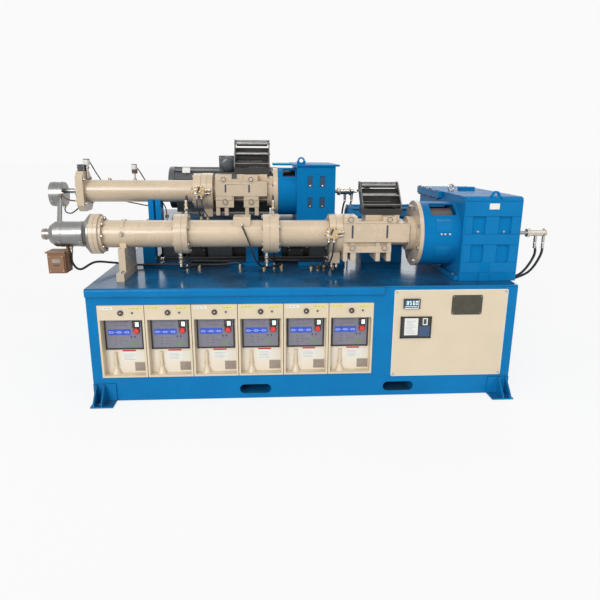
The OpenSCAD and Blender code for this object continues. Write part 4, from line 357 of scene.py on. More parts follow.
# %% The finishes
finish = {
    # The blue's dark layer on faces that look up is rubber dust and painted shade, which darkens
    # the deck
    "blue_paint": paint("blue_paint", (0.004, 0.175, 0.430), (0.1, 0.22), coat=0.04, wear=0.3,
                        dust_and_shade_amount=0.85, shine=(0.25, 0.62, 1.0, 1.0), level=0.25,
                        dust_and_shade_tone=RUBBER_DUST_AND_SHADE),
    "cream_paint": paint("cream_paint", (0.60, 0.475, 0.335), (0.2, 0.34), coat=0.2, wear=0.3,
                         dust_and_shade_amount=0.12, cast=0.25),
    "panel_paint": paint("panel_paint", (0.68, 0.575, 0.415), (0.3, 0.45), coat=0.1, wear=0.2,
                         dust_and_shade_amount=0.05, amount=0.06),
    "key_panel": plastic("key_panel", (0.025, 0.026, 0.03), (0.3, 0.45)),
    "red_button": plastic("red_button", (0.72, 0.03, 0.025), (0.2, 0.3), coat=0.3),
    "instrument_plastic": plastic("instrument_plastic", (0.05, 0.05, 0.055), (0.28, 0.42)),
    # The darker blue laid on the gearboxes' faces that look up is painted shade on their tops
    "gearbox_paint": paint("gearbox_paint", (0.004, 0.175, 0.430), (0.3, 0.42), coat=0.0,
                           wear=0.4, dust_and_shade_amount=0.6, shine=(0.25, 0.62, 1.0, 1.0), level=0.05,
                           dust_and_shade_tone=(0.010, 0.10, 0.24)),
    "bright_steel": metal("bright_steel", (0.27, 0.27, 0.265), (0.22, 0.46), stains=0.6,
                          depth=0.3),
    "brown_paint": paint("brown_paint", (0.235, 0.115, 0.056), (0.45, 0.6), coat=0.0, wear=0.5,
                         cast=0.6),
    "dark_paint": paint("dark_paint", (0.032, 0.031, 0.029), (0.24, 0.4), coat=0.1, wear=0.8,
                        dust_and_shade_amount=0.06, level=0.3, under=(0.35, 0.34, 0.32)),
    "motor_paint": paint("motor_paint", (0.060, 0.070, 0.080), (0.3, 0.46), coat=0.15, cast=0.5),
    "gear_steel": metal("gear_steel", (0.36, 0.35, 0.33), (0.3, 0.45)),
    "brass": metal("brass", (0.74, 0.52, 0.23), (0.2, 0.38), stain=(0.3, 0.2, 0.1)),
    "nickel": metal("nickel", (0.66, 0.61, 0.54), (0.14, 0.3), stain=(0.34, 0.24, 0.14)),
    "hose_rubber": plastic("hose_rubber", (0.018, 0.018, 0.02), (0.42, 0.6), grain=420.0,
                           depth=0.2),
    "bolt_steel": metal("bolt_steel", (0.50, 0.48, 0.45), (0.25, 0.42), stains=0.5),
}
print("finishes", len(finish))

# %% [markdown]
# A CAD solid has edges as sharp as a razor, and no real casting or folded sheet has. Its
# mesh is left as it is and modifiers round it: Weld joins the loose corners, Decimate takes
# out the lines across flat faces, Bevel rounds what is left, and Weighted Normal keeps the
# big faces flat. Screws, bearings and unit casings are hidden and the hoses are laid again
# below, so they keep sharp edges. So does the cabinet, on which the rounding left marks.

# %% Give every CAD node its finish and its rounded edges
EDGE = {  # millimetres
    "deck": 3.0, "front_gearbox": 3.0, "rear_gearbox": 3.0, "tcu_fronts": 1.2,
    "front_head": 2.0, "rear_head": 2.0, "front_motor": 2.5, "rear_motor": 2.5,
}
PLAIN_EDGE = 1.0
WELD_GAP = 0.00002  # metres
FLAT_WITHIN, ROUND_FROM = math.radians(0.4), math.radians(32)
NO_BEVEL = ("front_screw", "rear_screw", "hoses", "bearings", "tcu_casings", "cabinet")
KEEP_LINES = ("tcu_fronts",)
FINER = {"front_union": "nickel", "rear_union": "nickel", "front_gearbox": "gearbox_paint",
         "rear_gearbox": "gearbox_paint", "gearbox_covers": "gearbox_paint"}


def soften(thing, width):
    weld = thing.modifiers.new("weld", "WELD")
    weld.merge_threshold = WELD_GAP
    if thing.name not in KEEP_LINES:
        flat = thing.modifiers.new("flat", "DECIMATE")
        flat.decimate_type = "DISSOLVE"
        flat.angle_limit = FLAT_WITHIN
    round_off = thing.modifiers.new("round", "BEVEL")
    round_off.width = width / 1000
    round_off.segments = 2
    round_off.limit_method = "ANGLE"
    round_off.angle_limit = ROUND_FROM
    round_off.use_clamp_overlap = False
    round_off.miter_outer = "MITER_ARC"
    even = thing.modifiers.new("even", "WEIGHTED_NORMAL")
    even.weight = 60
    even.keep_sharp = False


for part in frame["record"]["subparts"]:
    name = part["node"]
    thing = nodes[name]
    for place in thing.material_slots:
        place.material = finish[FINER.get(name, part["material_slot"])]
    if name not in NO_BEVEL:
        soften(thing, EDGE.get(name, PLAIN_EDGE))
print("dressed", len(nodes), "nodes")

# %% [markdown]
# The hoses come next, because a long one decides how much room the picture needs. Each is a
# fixed length of hose between two fittings: straight out of the first, down under its own
# weight, along the deck, and into a gland. The points are those of the CAD model. A curve
# with a round bevel stays smooth at any distance, and its spline is the hose's centreline.

# %% Routes of the hoses, in machine millimetres
UP, DOWN = (0, 0, 1), (0, 0, -1)
LEFT, RIGHT = (-1, 0, 0), (1, 0, 0)
OUT, BACK = (0, -1, 0), (0, 1, 0)
HOSES = {
    "water_hose_1": (18, DOWN, LEFT, [(3099.54, 380, 1010), (3110, 390, 900),
        (3060, 450, 760), (2960, 520, 680), (2890, 570, 560), (2844, 590, 450)]),
    "water_hose_2": (18, DOWN, LEFT, [(3159.4, 380, 1010), (3160, 395, 900),
        (3120, 470, 760), (3000, 570, 660), (2900, 640, 530), (2844, 660, 420)]),
    "vent_hose": (12, OUT, DOWN, [(992.245, 289, 1142), (1010, 262, 1100),
        (1050, 262, 1000), (1090, 320, 880), (1130, 480, 815), (1140, 560, 792)]),
    "barrel_hose_1": (16, DOWN, DOWN, [(559, 380, 862.7), (565, 410, 820), (610, 500, 812),
        (660, 590, 792)]),
    "barrel_hose_2": (16, DOWN, DOWN, [(1158.5, 380, 862.7), (1168, 410, 820),
        (1215, 510, 812), (1270, 600, 792)]),
    "collar_hose_1": (16, DOWN, DOWN, [(1619.72, 380, 852), (1612, 430, 812),
        (1600, 520, 815), (1590, 600, 792)]),
    "collar_hose_2": (16, DOWN, DOWN, [(1654.28, 380, 852), (1658, 440, 812),
        (1660, 540, 815), (1660, 620, 792)]),
    "nipple_hose_1": (14, UP, DOWN, [(612.2, 380, 1275.3), (612, 420, 1325),
        (605, 500, 1250), (590, 560, 1080), (575, 595, 900), (570, 600, 792)]),
    "nipple_hose_2": (14, UP, DOWN, [(1206.18, 380, 1275.3), (1206, 420, 1325),
        (1210, 530, 1250), (1215, 600, 1080), (1216, 630, 900), (1216, 640, 792)]),
    "head_hose": (16, DOWN, DOWN, [(-184.14, 380, 968.7), (-188, 385, 870), (-150, 420, 815),
        (-70, 500, 850), (30, 580, 830), (200, 640, 800), (500, 640, 800), (800, 625, 800),
        (920, 610, 815), (960, 600, 792)]),
    "head_lead": (10, DOWN, RIGHT, [(-415.54, 1000, 1182.7), (-402, 985, 1152),
        (-355, 955, 1148), (-312, 942, 1172), (-282, 940, 1190)]),
    "sensor_lead_1": (9, BACK, DOWN, [(-217.7, 1024, 1535), (-213, 1070, 1530),
        (-168, 1115, 1420), (-60, 1120, 1260), (150, 1115, 1200), (270, 1110, 1180),
        (300, 1110, 1119)]),
    "sensor_lead_2": (9, BACK, DOWN, [(142, 1021, 1490), (160, 1075, 1470),
        (230, 1120, 1330), (330, 1125, 1200), (350, 1120, 1119)]),
    "manifold_hose_1": (12, DOWN, DOWN, [(1580.2, 230.7, 1046.8), (1570, 240, 950),
        (1545, 300, 860), (1520, 410, 812), (1500, 510, 815), (1490, 560, 792)]),
    "manifold_hose_2": (12, DOWN, DOWN, [(1616.2, 230.7, 1046.8), (1610, 240, 950),
        (1590, 300, 860), (1565, 410, 812), (1545, 510, 815), (1540, 560, 792)]),
    "rear_manifold_hose_1": (10, DOWN, DOWN, [(630, 846.7, 1281.6), (635, 840, 1200),
        (652, 845, 1150), (660, 850, 1119)]),
    "rear_manifold_hose_2": (10, DOWN, DOWN, [(666, 846.7, 1281.6), (675, 840, 1200),
        (700, 845, 1150), (710, 850, 1119)]),
    "rear_water_hose_1": (18, RIGHT, DOWN, [(1860, 1000, 1316), (1930, 1000, 1330),
        (2000, 1030, 1330), (2060, 1100, 1240), (2080, 1140, 1000), (2080, 1160, 792)]),
    "rear_water_hose_2": (14, DOWN, DOWN, [(1793.7, 1000, 1256), (1782, 1020, 1180),
        (1780, 1100, 1040), (1780, 1150, 880), (1780, 1160, 792)]),
    "rear_water_hose_3": (14, DOWN, DOWN, [(1847, 1000, 1256), (1850, 1050, 1222),
        (1850, 1130, 1120), (1850, 1155, 900), (1850, 1160, 792)]),
}

# %% [markdown]
# A Catmull-Rom spline passes through every chosen point, which a Bezier hull doesn't. At
# both ends the hose leaves its fitting straight for one diameter, as a crimped hose does.

# %% A smooth centreline through the points


def centreline(points, diameter, leaves, enters, steps=6):
    stops = [Vector(p) for p in points]
    out = stops[0] + diameter * Vector(leaves)
    back = stops[-1] - diameter * Vector(enters)
    knots = [out, *stops[1:-1], back]
    path = [stops[0]]
    for i in range(len(knots) - 1):
        a, b = knots[max(i - 1, 0)], knots[i]
        c, d = knots[i + 1], knots[min(i + 2, len(knots) - 1)]
        for j in range(steps):
            t = j / steps
            path.append(0.5 * (2 * b + (c - a) * t + (2 * a - 5 * b + 4 * c - d) * t * t
                               + (3 * b - a - 3 * c + d) * t * t * t))
    return [*path, knots[-1], stops[-1]]


def length_of(path):
    return sum((b - a).length for a, b in zip(path, path[1:]))


def curve(name, path, diameter, look, smooth_sides=4):
    """A round bar along machine points, as a curve with one open spline."""
    data = bpy.data.curves.new(name, "CURVE")
    data.dimensions = "3D"
    data.bevel_depth = diameter / 2000
    data.bevel_resolution = smooth_sides
    data.use_fill_caps = True
    line = data.splines.new("POLY")
    line.points.add(len(path) - 1)
    line.use_smooth = True
    for spot, place in zip(line.points, path):
        spot.co = (*at(*place), 1)
    made = bpy.data.objects.new(name, data)
    bpy.context.scene.collection.objects.link(made)
    data.materials.append(look)
    return made


# %% Lay the hoses
for name, (diameter, leaves, enters, points) in HOSES.items():
    path = centreline(points, diameter, leaves, enters)
    hose = curve(name, path, diameter, finish["hose_rubber"])
    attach(hose, "frame")
    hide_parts("hoses")
    print(name, round(length_of(path)), "mm")

# %% [markdown]
# Small parts come next. A builder collects solids in machine millimetres into one mesh: boxes,
# turned solids from a profile of distance and radius, and flat plates from an outline. Sharp
# edges are kept by angle and a Bevel rounds them. Ready-made primitives would need moving
# and scaling one by one; a profile says what the piece is.

# %% A builder for small pieces
SHARP_FROM = math.radians(34)


def about(axis):
    w = Vector(axis).normalized()
    u = Vector(UP if abs(w.z) < 0.9 else RIGHT)
    v = w.cross(u).normalized()
    return w, v.cross(w), v


class Piece:
    """Solids given in machine millimetres, gathered into one object."""

    def __init__(self, name, slot, *looks, body="frame"):
        self.name, self.slot, self.looks, self.body = name, slot, looks, body
        self.shape = bmesh.new()

    def add(self, corners, loops, look):
        spots = [self.shape.verts.new(at(*c)) for c in corners]
        for loop in loops:
            face = self.shape.faces.new([spots[i] for i in loop])
            face.material_index = look
            face.smooth = True

    def box(self, low, high, look=0):
        corners = [(x, y, z) for z in (low[2], high[2]) for y in (low[1], high[1])
                   for x in (low[0], high[0])]
        self.add(corners, [(0, 2, 3, 1), (4, 5, 7, 6), (0, 1, 5, 4), (2, 6, 7, 3), (0, 4, 6, 2),
                           (1, 3, 7, 5)], look)

    def turned(self, base, axis, profile, sides=24, look=0):
        """A solid turned about an axis, from a profile of (distance, radius)."""
        w, u, v = about(axis)
        corners = []
        for along, radius in profile:
            for i in range(sides):
                a = math.tau * i / sides
                corners.append(Vector(base) + w * along
                               + (u * math.cos(a) + v * math.sin(a)) * max(radius, 0.02))
        loops = [tuple(range(sides))[::-1]]
        for k in range(len(profile) - 1):
            for i in range(sides):
                j = (i + 1) % sides
                loops.append((k * sides + i, k * sides + j, k * sides + j + sides,
                              k * sides + i + sides))
        last = (len(profile) - 1) * sides
        loops.append(tuple(range(last, last + sides)))
        self.add(corners, loops, look)

    def ring(self, base, axis, inner, outer, low, high, sides=32, look=0):
        """A flat ring with a square section, from low to high along its axis."""
        w, u, v = about(axis)
        corners, loops = [], []
        for i in range(sides):
            a = math.tau * i / sides
            way = u * math.cos(a) + v * math.sin(a)
            for r, h in ((outer, low), (outer, high), (inner, high), (inner, low)):
                corners.append(Vector(base) + way * r + w * h)
            j = (i + 1) % sides
            for k in range(4):
                m = (k + 1) % 4
                loops.append((i * 4 + k, j * 4 + k, j * 4 + m, i * 4 + m))
        self.add(corners, loops, look)

    def plate(self, base, u, v, outline, thick, look=0):
        """A flat plate: an outline in the plane of u and v, thickened along u x v."""
        u, v, base = Vector(u), Vector(v), Vector(base)
        w = u.cross(v) * thick
        n = len(outline)
        low = [base + u * a + v * b for a, b in outline]
        loops = [tuple(range(n))[::-1], tuple(range(n, 2 * n))]
        loops += [(i, (i + 1) % n, (i + 1) % n + n, i + n) for i in range(n)]
        self.add([*low, *[p + w for p in low]], loops, look)

    def screws(self, xs, y, zs, profile, sides):
        """A screw head at each crossing of the xs and zs, on a face that looks to the front."""
        for x in xs:
            for z in zs:
                self.turned((x, y, z), OUT, profile, sides, 1)

    def done(self, edge):
        """Make the object, with its edges rounded by so many millimetres."""
        bmesh.ops.recalc_face_normals(self.shape, faces=self.shape.faces)
        mesh = bpy.data.meshes.new(self.name)
        self.shape.to_mesh(mesh)
        self.shape.free()
        mesh.set_sharp_from_angle(angle=SHARP_FROM)
        made = bpy.data.objects.new(self.name, mesh)
        bpy.context.scene.collection.objects.link(made)
        for look in self.looks:
            mesh.materials.append(look)
        if edge:
            rounds = made.modifiers.new("round", "BEVEL")
            rounds.width = edge / 1000
            rounds.segments = 2
            rounds.limit_method = "ANGLE"
            rounds.angle_limit = SHARP_FROM
            rounds.harden_normals = True
        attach(made, self.body)
        print(self.name, len(mesh.polygons), "faces")
        return made


def rounded(w, h, r, steps=5):
    """The outline of a rectangle with round corners, from its low left corner."""
    points = []
    for cx, cy, a in ((w - r, r, -90), (w - r, h - r, 0), (r, h - r, 90), (r, r, 180)):
        for i in range(steps + 1):
            t = math.radians(a + 90 * i / steps)
            points.append((cx + r * math.cos(t), cy + r * math.sin(t)))
    return points


def label(piece, x, y, z, w, h, look=0, thick=0.5, r=1.0):
    """A flat thing with round corners on an upright face that looks to the front."""
    piece.plate((x, y, z), RIGHT, UP, rounded(w, h, r), thick, look)


SEGMENTS = {0: "abcdef", 1: "bc", 2: "abged", 3: "abgcd", 4: "fgbc", 5: "afgcd", 6: "afgedc",
            7: "abc", 8: "abcdefg", 9: "abcfgd"}


def digits(piece, number, x, y, z, high, look):
    """Seven-segment digits on a front-facing display; only plain numbers."""
    wide, bar = high * 0.52, high * 0.11
    half = high / 2
    shapes = {"a": (0, high - bar, wide, bar), "g": (0, half - bar / 2, wide, bar),
              "d": (0, 0, wide, bar), "f": (0, half, bar, half), "e": (0, 0, bar, half),
              "b": (wide - bar, half, bar, half), "c": (wide - bar, 0, bar, half)}
    for place, figure in enumerate(number):
        for s in SEGMENTS[int(figure)]:
            a, b, w, h = shapes[s]
            left = x + place * high * 0.78 + a
            piece.box((left, y - 0.3, z + b), (left + w, y, z + b + h), look)


# %% [markdown]
# Small finishes for screens, labels and films. A lit display gives off a little light of its
# own; a film is a thin printed polyester, flat and even, with a faint grain.

# %% Finishes of displays and labels


def glowing(name, colour, strength):
    material, tree, shader = begin(name, Emission_Strength=strength, Roughness=0.25)
    tone = use(tree, mottle, Colour=(*colour, 1), Amount=0.25, Scale=160.0)
    for socket in ("Base Color", "Emission Color"):
        feed(tree, shader.inputs[socket], tone)
    return material


film = {
    "frame": plastic("film_frame", (0.012, 0.011, 0.010), (0.3, 0.45)),
    "key_face": plastic("film_key_face", (0.205, 0.20, 0.245), (0.32, 0.45), amount=0.14),
    "band": plastic("film_band", (0.035, 0.095, 0.60), (0.25, 0.35), amount=0.2),
    "pale_blue": plastic("film_pale_blue", (0.36, 0.45, 0.88), (0.25, 0.35)),
    # Dark film for print, also laid as painted shade in slots, gaps, sockets and openings
    "ink_and_shade": plastic("film_ink_and_shade", (0.05, 0.05, 0.07), (0.4, 0.5)),
    "key_blue": plastic("film_key_blue", (0.018, 0.03, 0.16), (0.25, 0.35), coat=0.3),
    "green": plastic("film_green", (0.16, 0.24, 0.13), (0.4, 0.5)),
    "red": plastic("film_red", (0.52, 0.016, 0.045), (0.3, 0.4)),
    "paper": plastic("film_paper", (0.74, 0.745, 0.70), (0.5, 0.7), amount=0.05, dust_and_shade_amount=0.0),
    "card": plastic("film_card", (0.33, 0.275, 0.235), (0.45, 0.6), amount=0.2),
    "bezel_and_shade": plastic("film_bezel_and_shade", (0.075, 0.045, 0.03), (0.3, 0.4)),
    "yellow": plastic("film_yellow", (0.72, 0.66, 0.23), (0.4, 0.6), amount=0.12, dust_and_shade_amount=0.0),
    "screen": plastic("film_screen", (0.012, 0.014, 0.014), (0.1, 0.2), coat=0.5),
    "lcd": plastic("film_lcd", (0.022, 0.065, 0.16), (0.12, 0.2), coat=0.5, dust_and_shade_amount=0.0),
    "white_light": glowing("film_white_light", (0.80, 0.95, 0.88), 0.7),
    "red_light": glowing("film_red_light", (0.95, 0.10, 0.05), 1.2),
}
print("films", len(film))

# %% [markdown]
# Each temperature unit has a framed key panel in its recess: a grey film with a blue line
# picture of the water circuit, a digital display at top right, the red push button (a CAD
# node, because it moves), two small keys and rows of fine print, which stay as plain dashes.
# The panels are built again in full, because the CAD solid is only their outer form.

# %% Temperature units: key panels
UNITS = [(66.0 + 300.0 * i, 168.0) for i in range(6)]
FACE_X, FACE_Z, FACE_W, FACE_H = 32.7, 190.8, 230.6, 196.1
BUTTON_X, BUTTON_Z, HOLE = 230.05, 310.25, 18.5
KEY_Y, LOWER_Y, UPPER_Y = 44.2, 50.0, -5.0  # the key face, and the front below and above
keys = Piece("unit_key_panels", "key_panel", film["frame"], film["key_face"])
prints = Piece("unit_key_prints", "key_panel", film["band"], film["pale_blue"], film["ink_and_shade"],
               film["green"], film["key_blue"])
shows = Piece("unit_displays", "key_panel", film["screen"], film["white_light"],
              film["red_light"], film["ink_and_shade"], film["frame"])


def holed(piece, low, high, middle, r, depth, look):
    """A face plate between two corners (x, z), with a round hole that the button moves in."""
    ways = {math.tau * k / 40 for k in range(40)}
    ways |= {math.atan2(z - middle[1], x - middle[0]) % math.tau
             for x in (low[0], high[0]) for z in (low[1], high[1])}
    ways = sorted(ways)
    corners, loops = [], []
    for a in ways:
        c, s = math.cos(a), math.sin(a)
        reach = min(((high[0] if c > 0 else low[0]) - middle[0]) / c if abs(c) > 1e-9 else 1e9,
                    ((high[1] if s > 0 else low[1]) - middle[1]) / s if abs(s) > 1e-9 else 1e9)
        corners += [(middle[0] + c * q, y, middle[1] + s * q) for q, y in
                    ((reach, depth[0]), (reach, depth[1]), (r, depth[1]), (r, depth[0]))]
    for i in range(len(ways)):
        j = (i + 1) % len(ways)
        loops += [(4 * i + k, 4 * j + k, 4 * j + (k + 1) % 4, 4 * i + (k + 1) % 4)
                  for k in range(4)]
    piece.add(corners, loops, look)


def on_face(unit, share_x, share_down):
    """A point of a unit's key face, from shares of its width and of its height from the top."""
    return unit[0] + FACE_X + share_x * FACE_W, unit[1] + FACE_Z + (1 - share_down) * FACE_H


for number, unit in enumerate(UNITS):
    ux, uz = unit
    x0, x1, z0, z1 = ux + 23.7, ux + 272.3, uz + 181.8, uz + 395.9
    for low, high in (((x0, 40, z0), (x0 + 9, 50, z1)), ((x1 - 9, 40, z0), (x1, 50, z1)),
                      ((x0, 40, z0), (x1, 50, z0 + 9)), ((x0, 40, z1 - 9), (x1, 50, z1))):
        keys.box(low, high)
    holed(keys, (x0 + 8.5, z0 + 8.5), (x1 - 8.5, z1 - 8.5), (ux + BUTTON_X, uz + BUTTON_Z),
          HOLE, (44.1, 49.5), 1)
    for k in range(5):
        x, z = on_face(unit, 0.27 + 0.082 * k, 0.07)
        prints.turned((x, KEY_Y, z), OUT, ((0, 2.6), (0.9, 2.2), (1.1, 1.2)), 12, 2)
        label(prints, x - 4, KEY_Y, z - 8, 8, 2.2, 2, 0.35, 0.3)
    for k in range(9):
        x, z = on_face(unit, 0.25 + 0.042 * k, 0.215)
        label(prints, x, KEY_Y, z, 6.0 + 1.5 * (k % 2), 3.0, 2, 0.35, 0.3)
    x, z = on_face(unit, 0.055, 0.535)
    label(prints, x, KEY_Y, z, FACE_W * 0.635, FACE_H * 0.205, 0, 0.5, 4.0)
    for k in range(3):
        x, z = on_face(unit, 0.075 + 0.225 * k, 0.475)
        prints.plate((x, 43.7, z), RIGHT, UP, rounded(30, 14, 6.8, 6), 0.5, 1)
        label(prints, x + 6, 43.3, z + 4.5, 18, 5, 0, 0.4, 2.0)
        if k < 2:
            label(prints, x + 31, 43.8, z + 6, 20, 2.0, 1, 0.3, 0.8)
    for k in range(2):
        x, z = on_face(unit, 0.70 + 0.10 * k, 0.605)
        prints.turned((x, 44.3, z), OUT, ((0, 6.0), (1.6, 5.6), (2.0, 4.4)), 20, 4)
        label(prints, x - 4, KEY_Y, z - 14, 8, 2.0, 2, 0.35, 0.3)
    for row in range(3):
        for k in range(3 + row % 2):
            x, z = on_face(unit, 0.07 + 0.155 * k, 0.66 + 0.10 * row)
            label(prints, x, KEY_Y, z, 19 - 3 * ((row + k) % 3), 2.4, 3 if k == 0 else 2,
                  0.35, 0.3)
    x, z = on_face(unit, 0.66, 0.93)
    label(prints, x, KEY_Y, z, 44, 26, 3, 0.4, 1.5)
    keys.ring((ux + BUTTON_X, 0, uz + BUTTON_Z), OUT, HOLE, 23.0, -44.6, -42.4)
    # The display stands proud of the face; its lit window is on the right
    dx, dz = ux + 206.05, uz + 330.65
    shows.plate((dx, 50, dz), RIGHT, UP, rounded(48, 48, 3), 11.2, 4)
    label(shows, dx + 3.5, 38.8, dz + 3.5, 41, 41, 0, 0.6, 2)
    label(shows, dx + 19, 38.3, dz + 9, 23, 31, 1, 0.3, 1)
    for rise in (27, 13):
        digits(shows, str(80 + 5 * (number % 3)), dx + 22.5, 38.0, dz + rise, 9.5, 3)
    for k in range(4):
        shows.turned((dx + 9, 38.3, dz + 10 + 8 * k), OUT, ((0, 1.8), (0.4, 1.5)), 10,
                     2 if k == 3 else 3)
panels = keys.done(0.8)
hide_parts("tcu_controllers")
prints.done(0.0)
shows.done(0.4)

# %% [markdown]
# Round the key panel each unit has plain labels: pale strips at its top corners, a red strip
# and a blank white card under the keys, three narrow pale stripes and a darker blank plate at
# the lower right, a paler sheet behind them, a pressure gauge with its dial, and a small
# drain knob. The paler sheet is painted light: it brightens the lower front, which lies in the
# shade of the recess. On the real machine the cards carry print; here they are left blank.

# %% Temperature units: gauges, knobs and blank labels
tags = Piece("unit_labels", "panel_paint", film["red"], film["paper"], film["yellow"],
             film["card"], film["ink_and_shade"],
             paint("painted_light_liner", (0.78, 0.70, 0.58), (0.3, 0.45), coat=0.1, wear=0.0, dust_and_shade_amount=0.05,
                   amount=0.06))
dials = Piece("unit_gauges", "instrument_plastic", film["frame"], film["bezel_and_shade"], film["paper"],
              finish["bolt_steel"], film["ink_and_shade"])
for number, unit in enumerate(UNITS):
    ux, uz = unit
    # A paler sheet on the lower front: painted light in the shade of the recess
    label(tags, ux + 20, 50.1, uz + 14, 260, 160, 5, 0.3, 3.0)
    label(tags, ux + 128, LOWER_Y, uz + 165, 88, 9.5, 0, 0.6, 1.0)
    label(tags, ux + 126, LOWER_Y, uz + 96, 92, 62, 1, 0.5, 2.0)
    for k in range(5):
        label(tags, ux + 134, 49.5, uz + 106 + 10 * k, 76 - 9 * ((k + number) % 3), 1.2, 4,
              0.2, 0.3)
    label(tags, ux + 203.2, 48.4, uz + 26, 75.5, 60, 3, 0.4, 2.0)
    for k in range(3):
        label(tags, ux + 226 + 16 * k, LOWER_Y, uz + 97, 9, 62, 1, 0.6, 1.0)
    label(tags, ux + 16, UPPER_Y, uz + 470, 84, 18, 2 if number % 2 else 1, 0.4, 1.0)
    label(tags, ux + 196, UPPER_Y, uz + 466, 86, 20, 2, 0.4, 1.0)
    for k in range(3):
        label(tags, ux + 22 + 24 * k, -5.4, uz + 478, 15, 2.0, 4, 0.2, 0.3)
        label(tags, ux + 202 + 24 * k, -5.4, uz + 475, 15, 2.0, 4, 0.2, 0.3)
    gx, gz = ux + 148, uz + 448
    dials.ring((gx, 0, gz), OUT, 12.5, 17.6, 5.0, 14.3)
    dials.turned((gx, -14.0, gz), OUT, ((0, 12.6), (0.12, 12.4)), 28, 1)
    for k in range(9):
        a = math.radians(-40 + 32.5 * k)
        x, z = gx - math.cos(a) * 10, gz + math.sin(a) * 10
        dials.turned((x, -14.1, z), OUT, ((0, 0.8), (0.12, 0.8)), 8, 2)
    dials.plate((gx - 7, -14.1, gz - 4.6), (0.83, 0, 0.55), (-0.55, 0, 0.83),
                [(0, -0.8), (13, -0.5), (13, 0.5), (0, 0.8)], 0.15, 2)
    dials.turned((gx, -14.1, gz), OUT, ((0, 3.2), (0.2, 2.8)), 12, 2)
    dials.turned((ux + 222, -5.2, gz), OUT, ((0, 8.6), (3.0, 8.6), (3.2, 8.0)), 6, 3)
    dials.turned((ux + 222, -14.0, gz), OUT, ((0, 5.6), (0.2, 5.0), (0.25, 3.0)), 20, 4)
tags.done(0.0)
dials.done(0.3)

# %% [markdown]
# The service panel holds a digital meter, a window with a card behind it and a bare grey
# plate. The panel's folded edge catches light, so a thin pale strip runs round it as a
# painted highlight.

# %% Service panel: meter, window, plate and painted edge highlight
meter = Piece("panel_meter", "instrument_plastic", film["frame"], film["lcd"],
              film["white_light"], film["paper"])
mx, mz = 2062.4, 625.5
label(meter, mx - 3, -4.0, mz - 3, 111, 69, 0, 12.4, 3)
label(meter, mx + 2, -16.4, mz + 2, 92, 59, 1, 0.4, 1)
label(meter, mx + 2, -16.6, mz - 0.5, 92, 7, 3, 0.4, 0.5)
label(meter, mx + 95, -16.4, mz + 1, 4, 60, 3, 0.5, 0.5)
digits(meter, "85", mx + 16, -16.8, mz + 27, 25, 2)
digits(meter, "60", mx + 58, -16.8, mz + 27, 25, 2)
label(meter, mx + 8, -16.7, mz + 15, 80, 2.5, 2, 0.3, 0.4)
meter.done(0.6)
window = Piece("panel_window", "instrument_plastic", film["frame"], film["screen"],
               film["paper"], film["ink_and_shade"], film["lcd"])
wx, wz = 2046.2, 417.3
for low, high in (((wx, -14.4, wz), (wx + 209, -4, wz + 9)),
                  ((wx, -14.4, wz + 141), (wx + 209, -4, wz + 150)),
                  ((wx, -14.4, wz), (wx + 9, -4, wz + 150)),
                  ((wx + 200, -14.4, wz), (wx + 209, -4, wz + 150))):
    window.box(low, high)
label(window, wx + 8, -13.9, wz + 8, 193, 134, 1, 0.3, 1)
label(window, wx + 26, -14.15, wz + 22, 92, 124, 2, 0.25, 1)
for k in range(9):
    label(window, wx + 38, -14.4, wz + 36 + 10.5 * k, 66 - 8 * (k % 4), 1.3, 3, 0.15, 0.3)
label(window, wx + 148, -14.15, wz + 92, 34, 52, 2, 0.25, 1)
label(window, wx + 154, -14.4, wz + 100, 20, 34, 3, 0.15, 0.5)
label(window, wx + 126, -14.15, wz + 14, 72, 70, 4, 0.2, 1)
window.done(0.6)
# A pale strip round the panel's edges: painted highlight where the fold catches light
edge_highlight = Piece("panel_edge_highlight", "panel_paint", film["paper"])
px, pz, pw, ph = 1997.0, 142.0, 769.0, 609.0
for x, z, w, h in ((px + 9, pz + ph - 4.5, pw - 18, 4), (px + 9, pz + 0.5, pw - 18, 3),
                   (px + 0.5, pz + 9, 3, ph - 18), (px + pw - 4.5, pz + 9, 4, ph - 18)):
    edge_highlight.box((x, -4.9, z), (x + w, -4.0, z + h))
edge_highlight.done(0.3)
blank = Piece("panel_blank_plate", "instrument_plastic",
              metal("plate_grey", (0.105, 0.10, 0.078), (0.35, 0.5), along=500.0, stains=0.2),
              finish["bolt_steel"])
bx, bz = 2386.0, 576.8
blank.plate((bx + 1.5, -7.0, bz + 1.5), RIGHT, UP, rounded(205, 133, 14, 8), 0.35)
blank.screws((bx + 11, bx + 197), -7.3, (bz + 11, bz + 125), ((0, 3.4), (0.7, 3.0), (1.2, 1.8)),
             14)
blank.done(0.0)

# %% [markdown]
# Rubber hoses are held in crimped steel ferrules, with a nut on the fitting side. A CAD hose
# simply ends; on the machine the ferrule is the brightest part of it. A function turns one
# from a profile where each hose starts; where it ends there are a nut and a plain sleeve.

# %% Ferrules and gland nuts
ferrules = Piece("hose_ferrules", "bolt_steel", finish["nickel"], finish["bolt_steel"])


def ferrule(point, way, bore, long):
    r = bore / 2
    ferrules.turned(point, way, ((0, r + 1), (1, r + 3), (r, r + 3), (r + 1, r + 1.5)), 6, 1)
    stops = [(r * 0.9, r + 1.2), (r + 3, r + 2.2)]
    for k in range(3):
        a = r + 4 + k * (long - r - 6) / 3
        stops += [(a, r + 2.4), (a + 2, r + 2.4), (a + 2.6, r + 1.6), (a + 3.6, r + 1.6)]
    stops += [(long - 2, r + 2.2), (long, r + 1.2), (long + 0.2, r * 0.9)]
    ferrules.turned(point, way, stops, 20, 0)


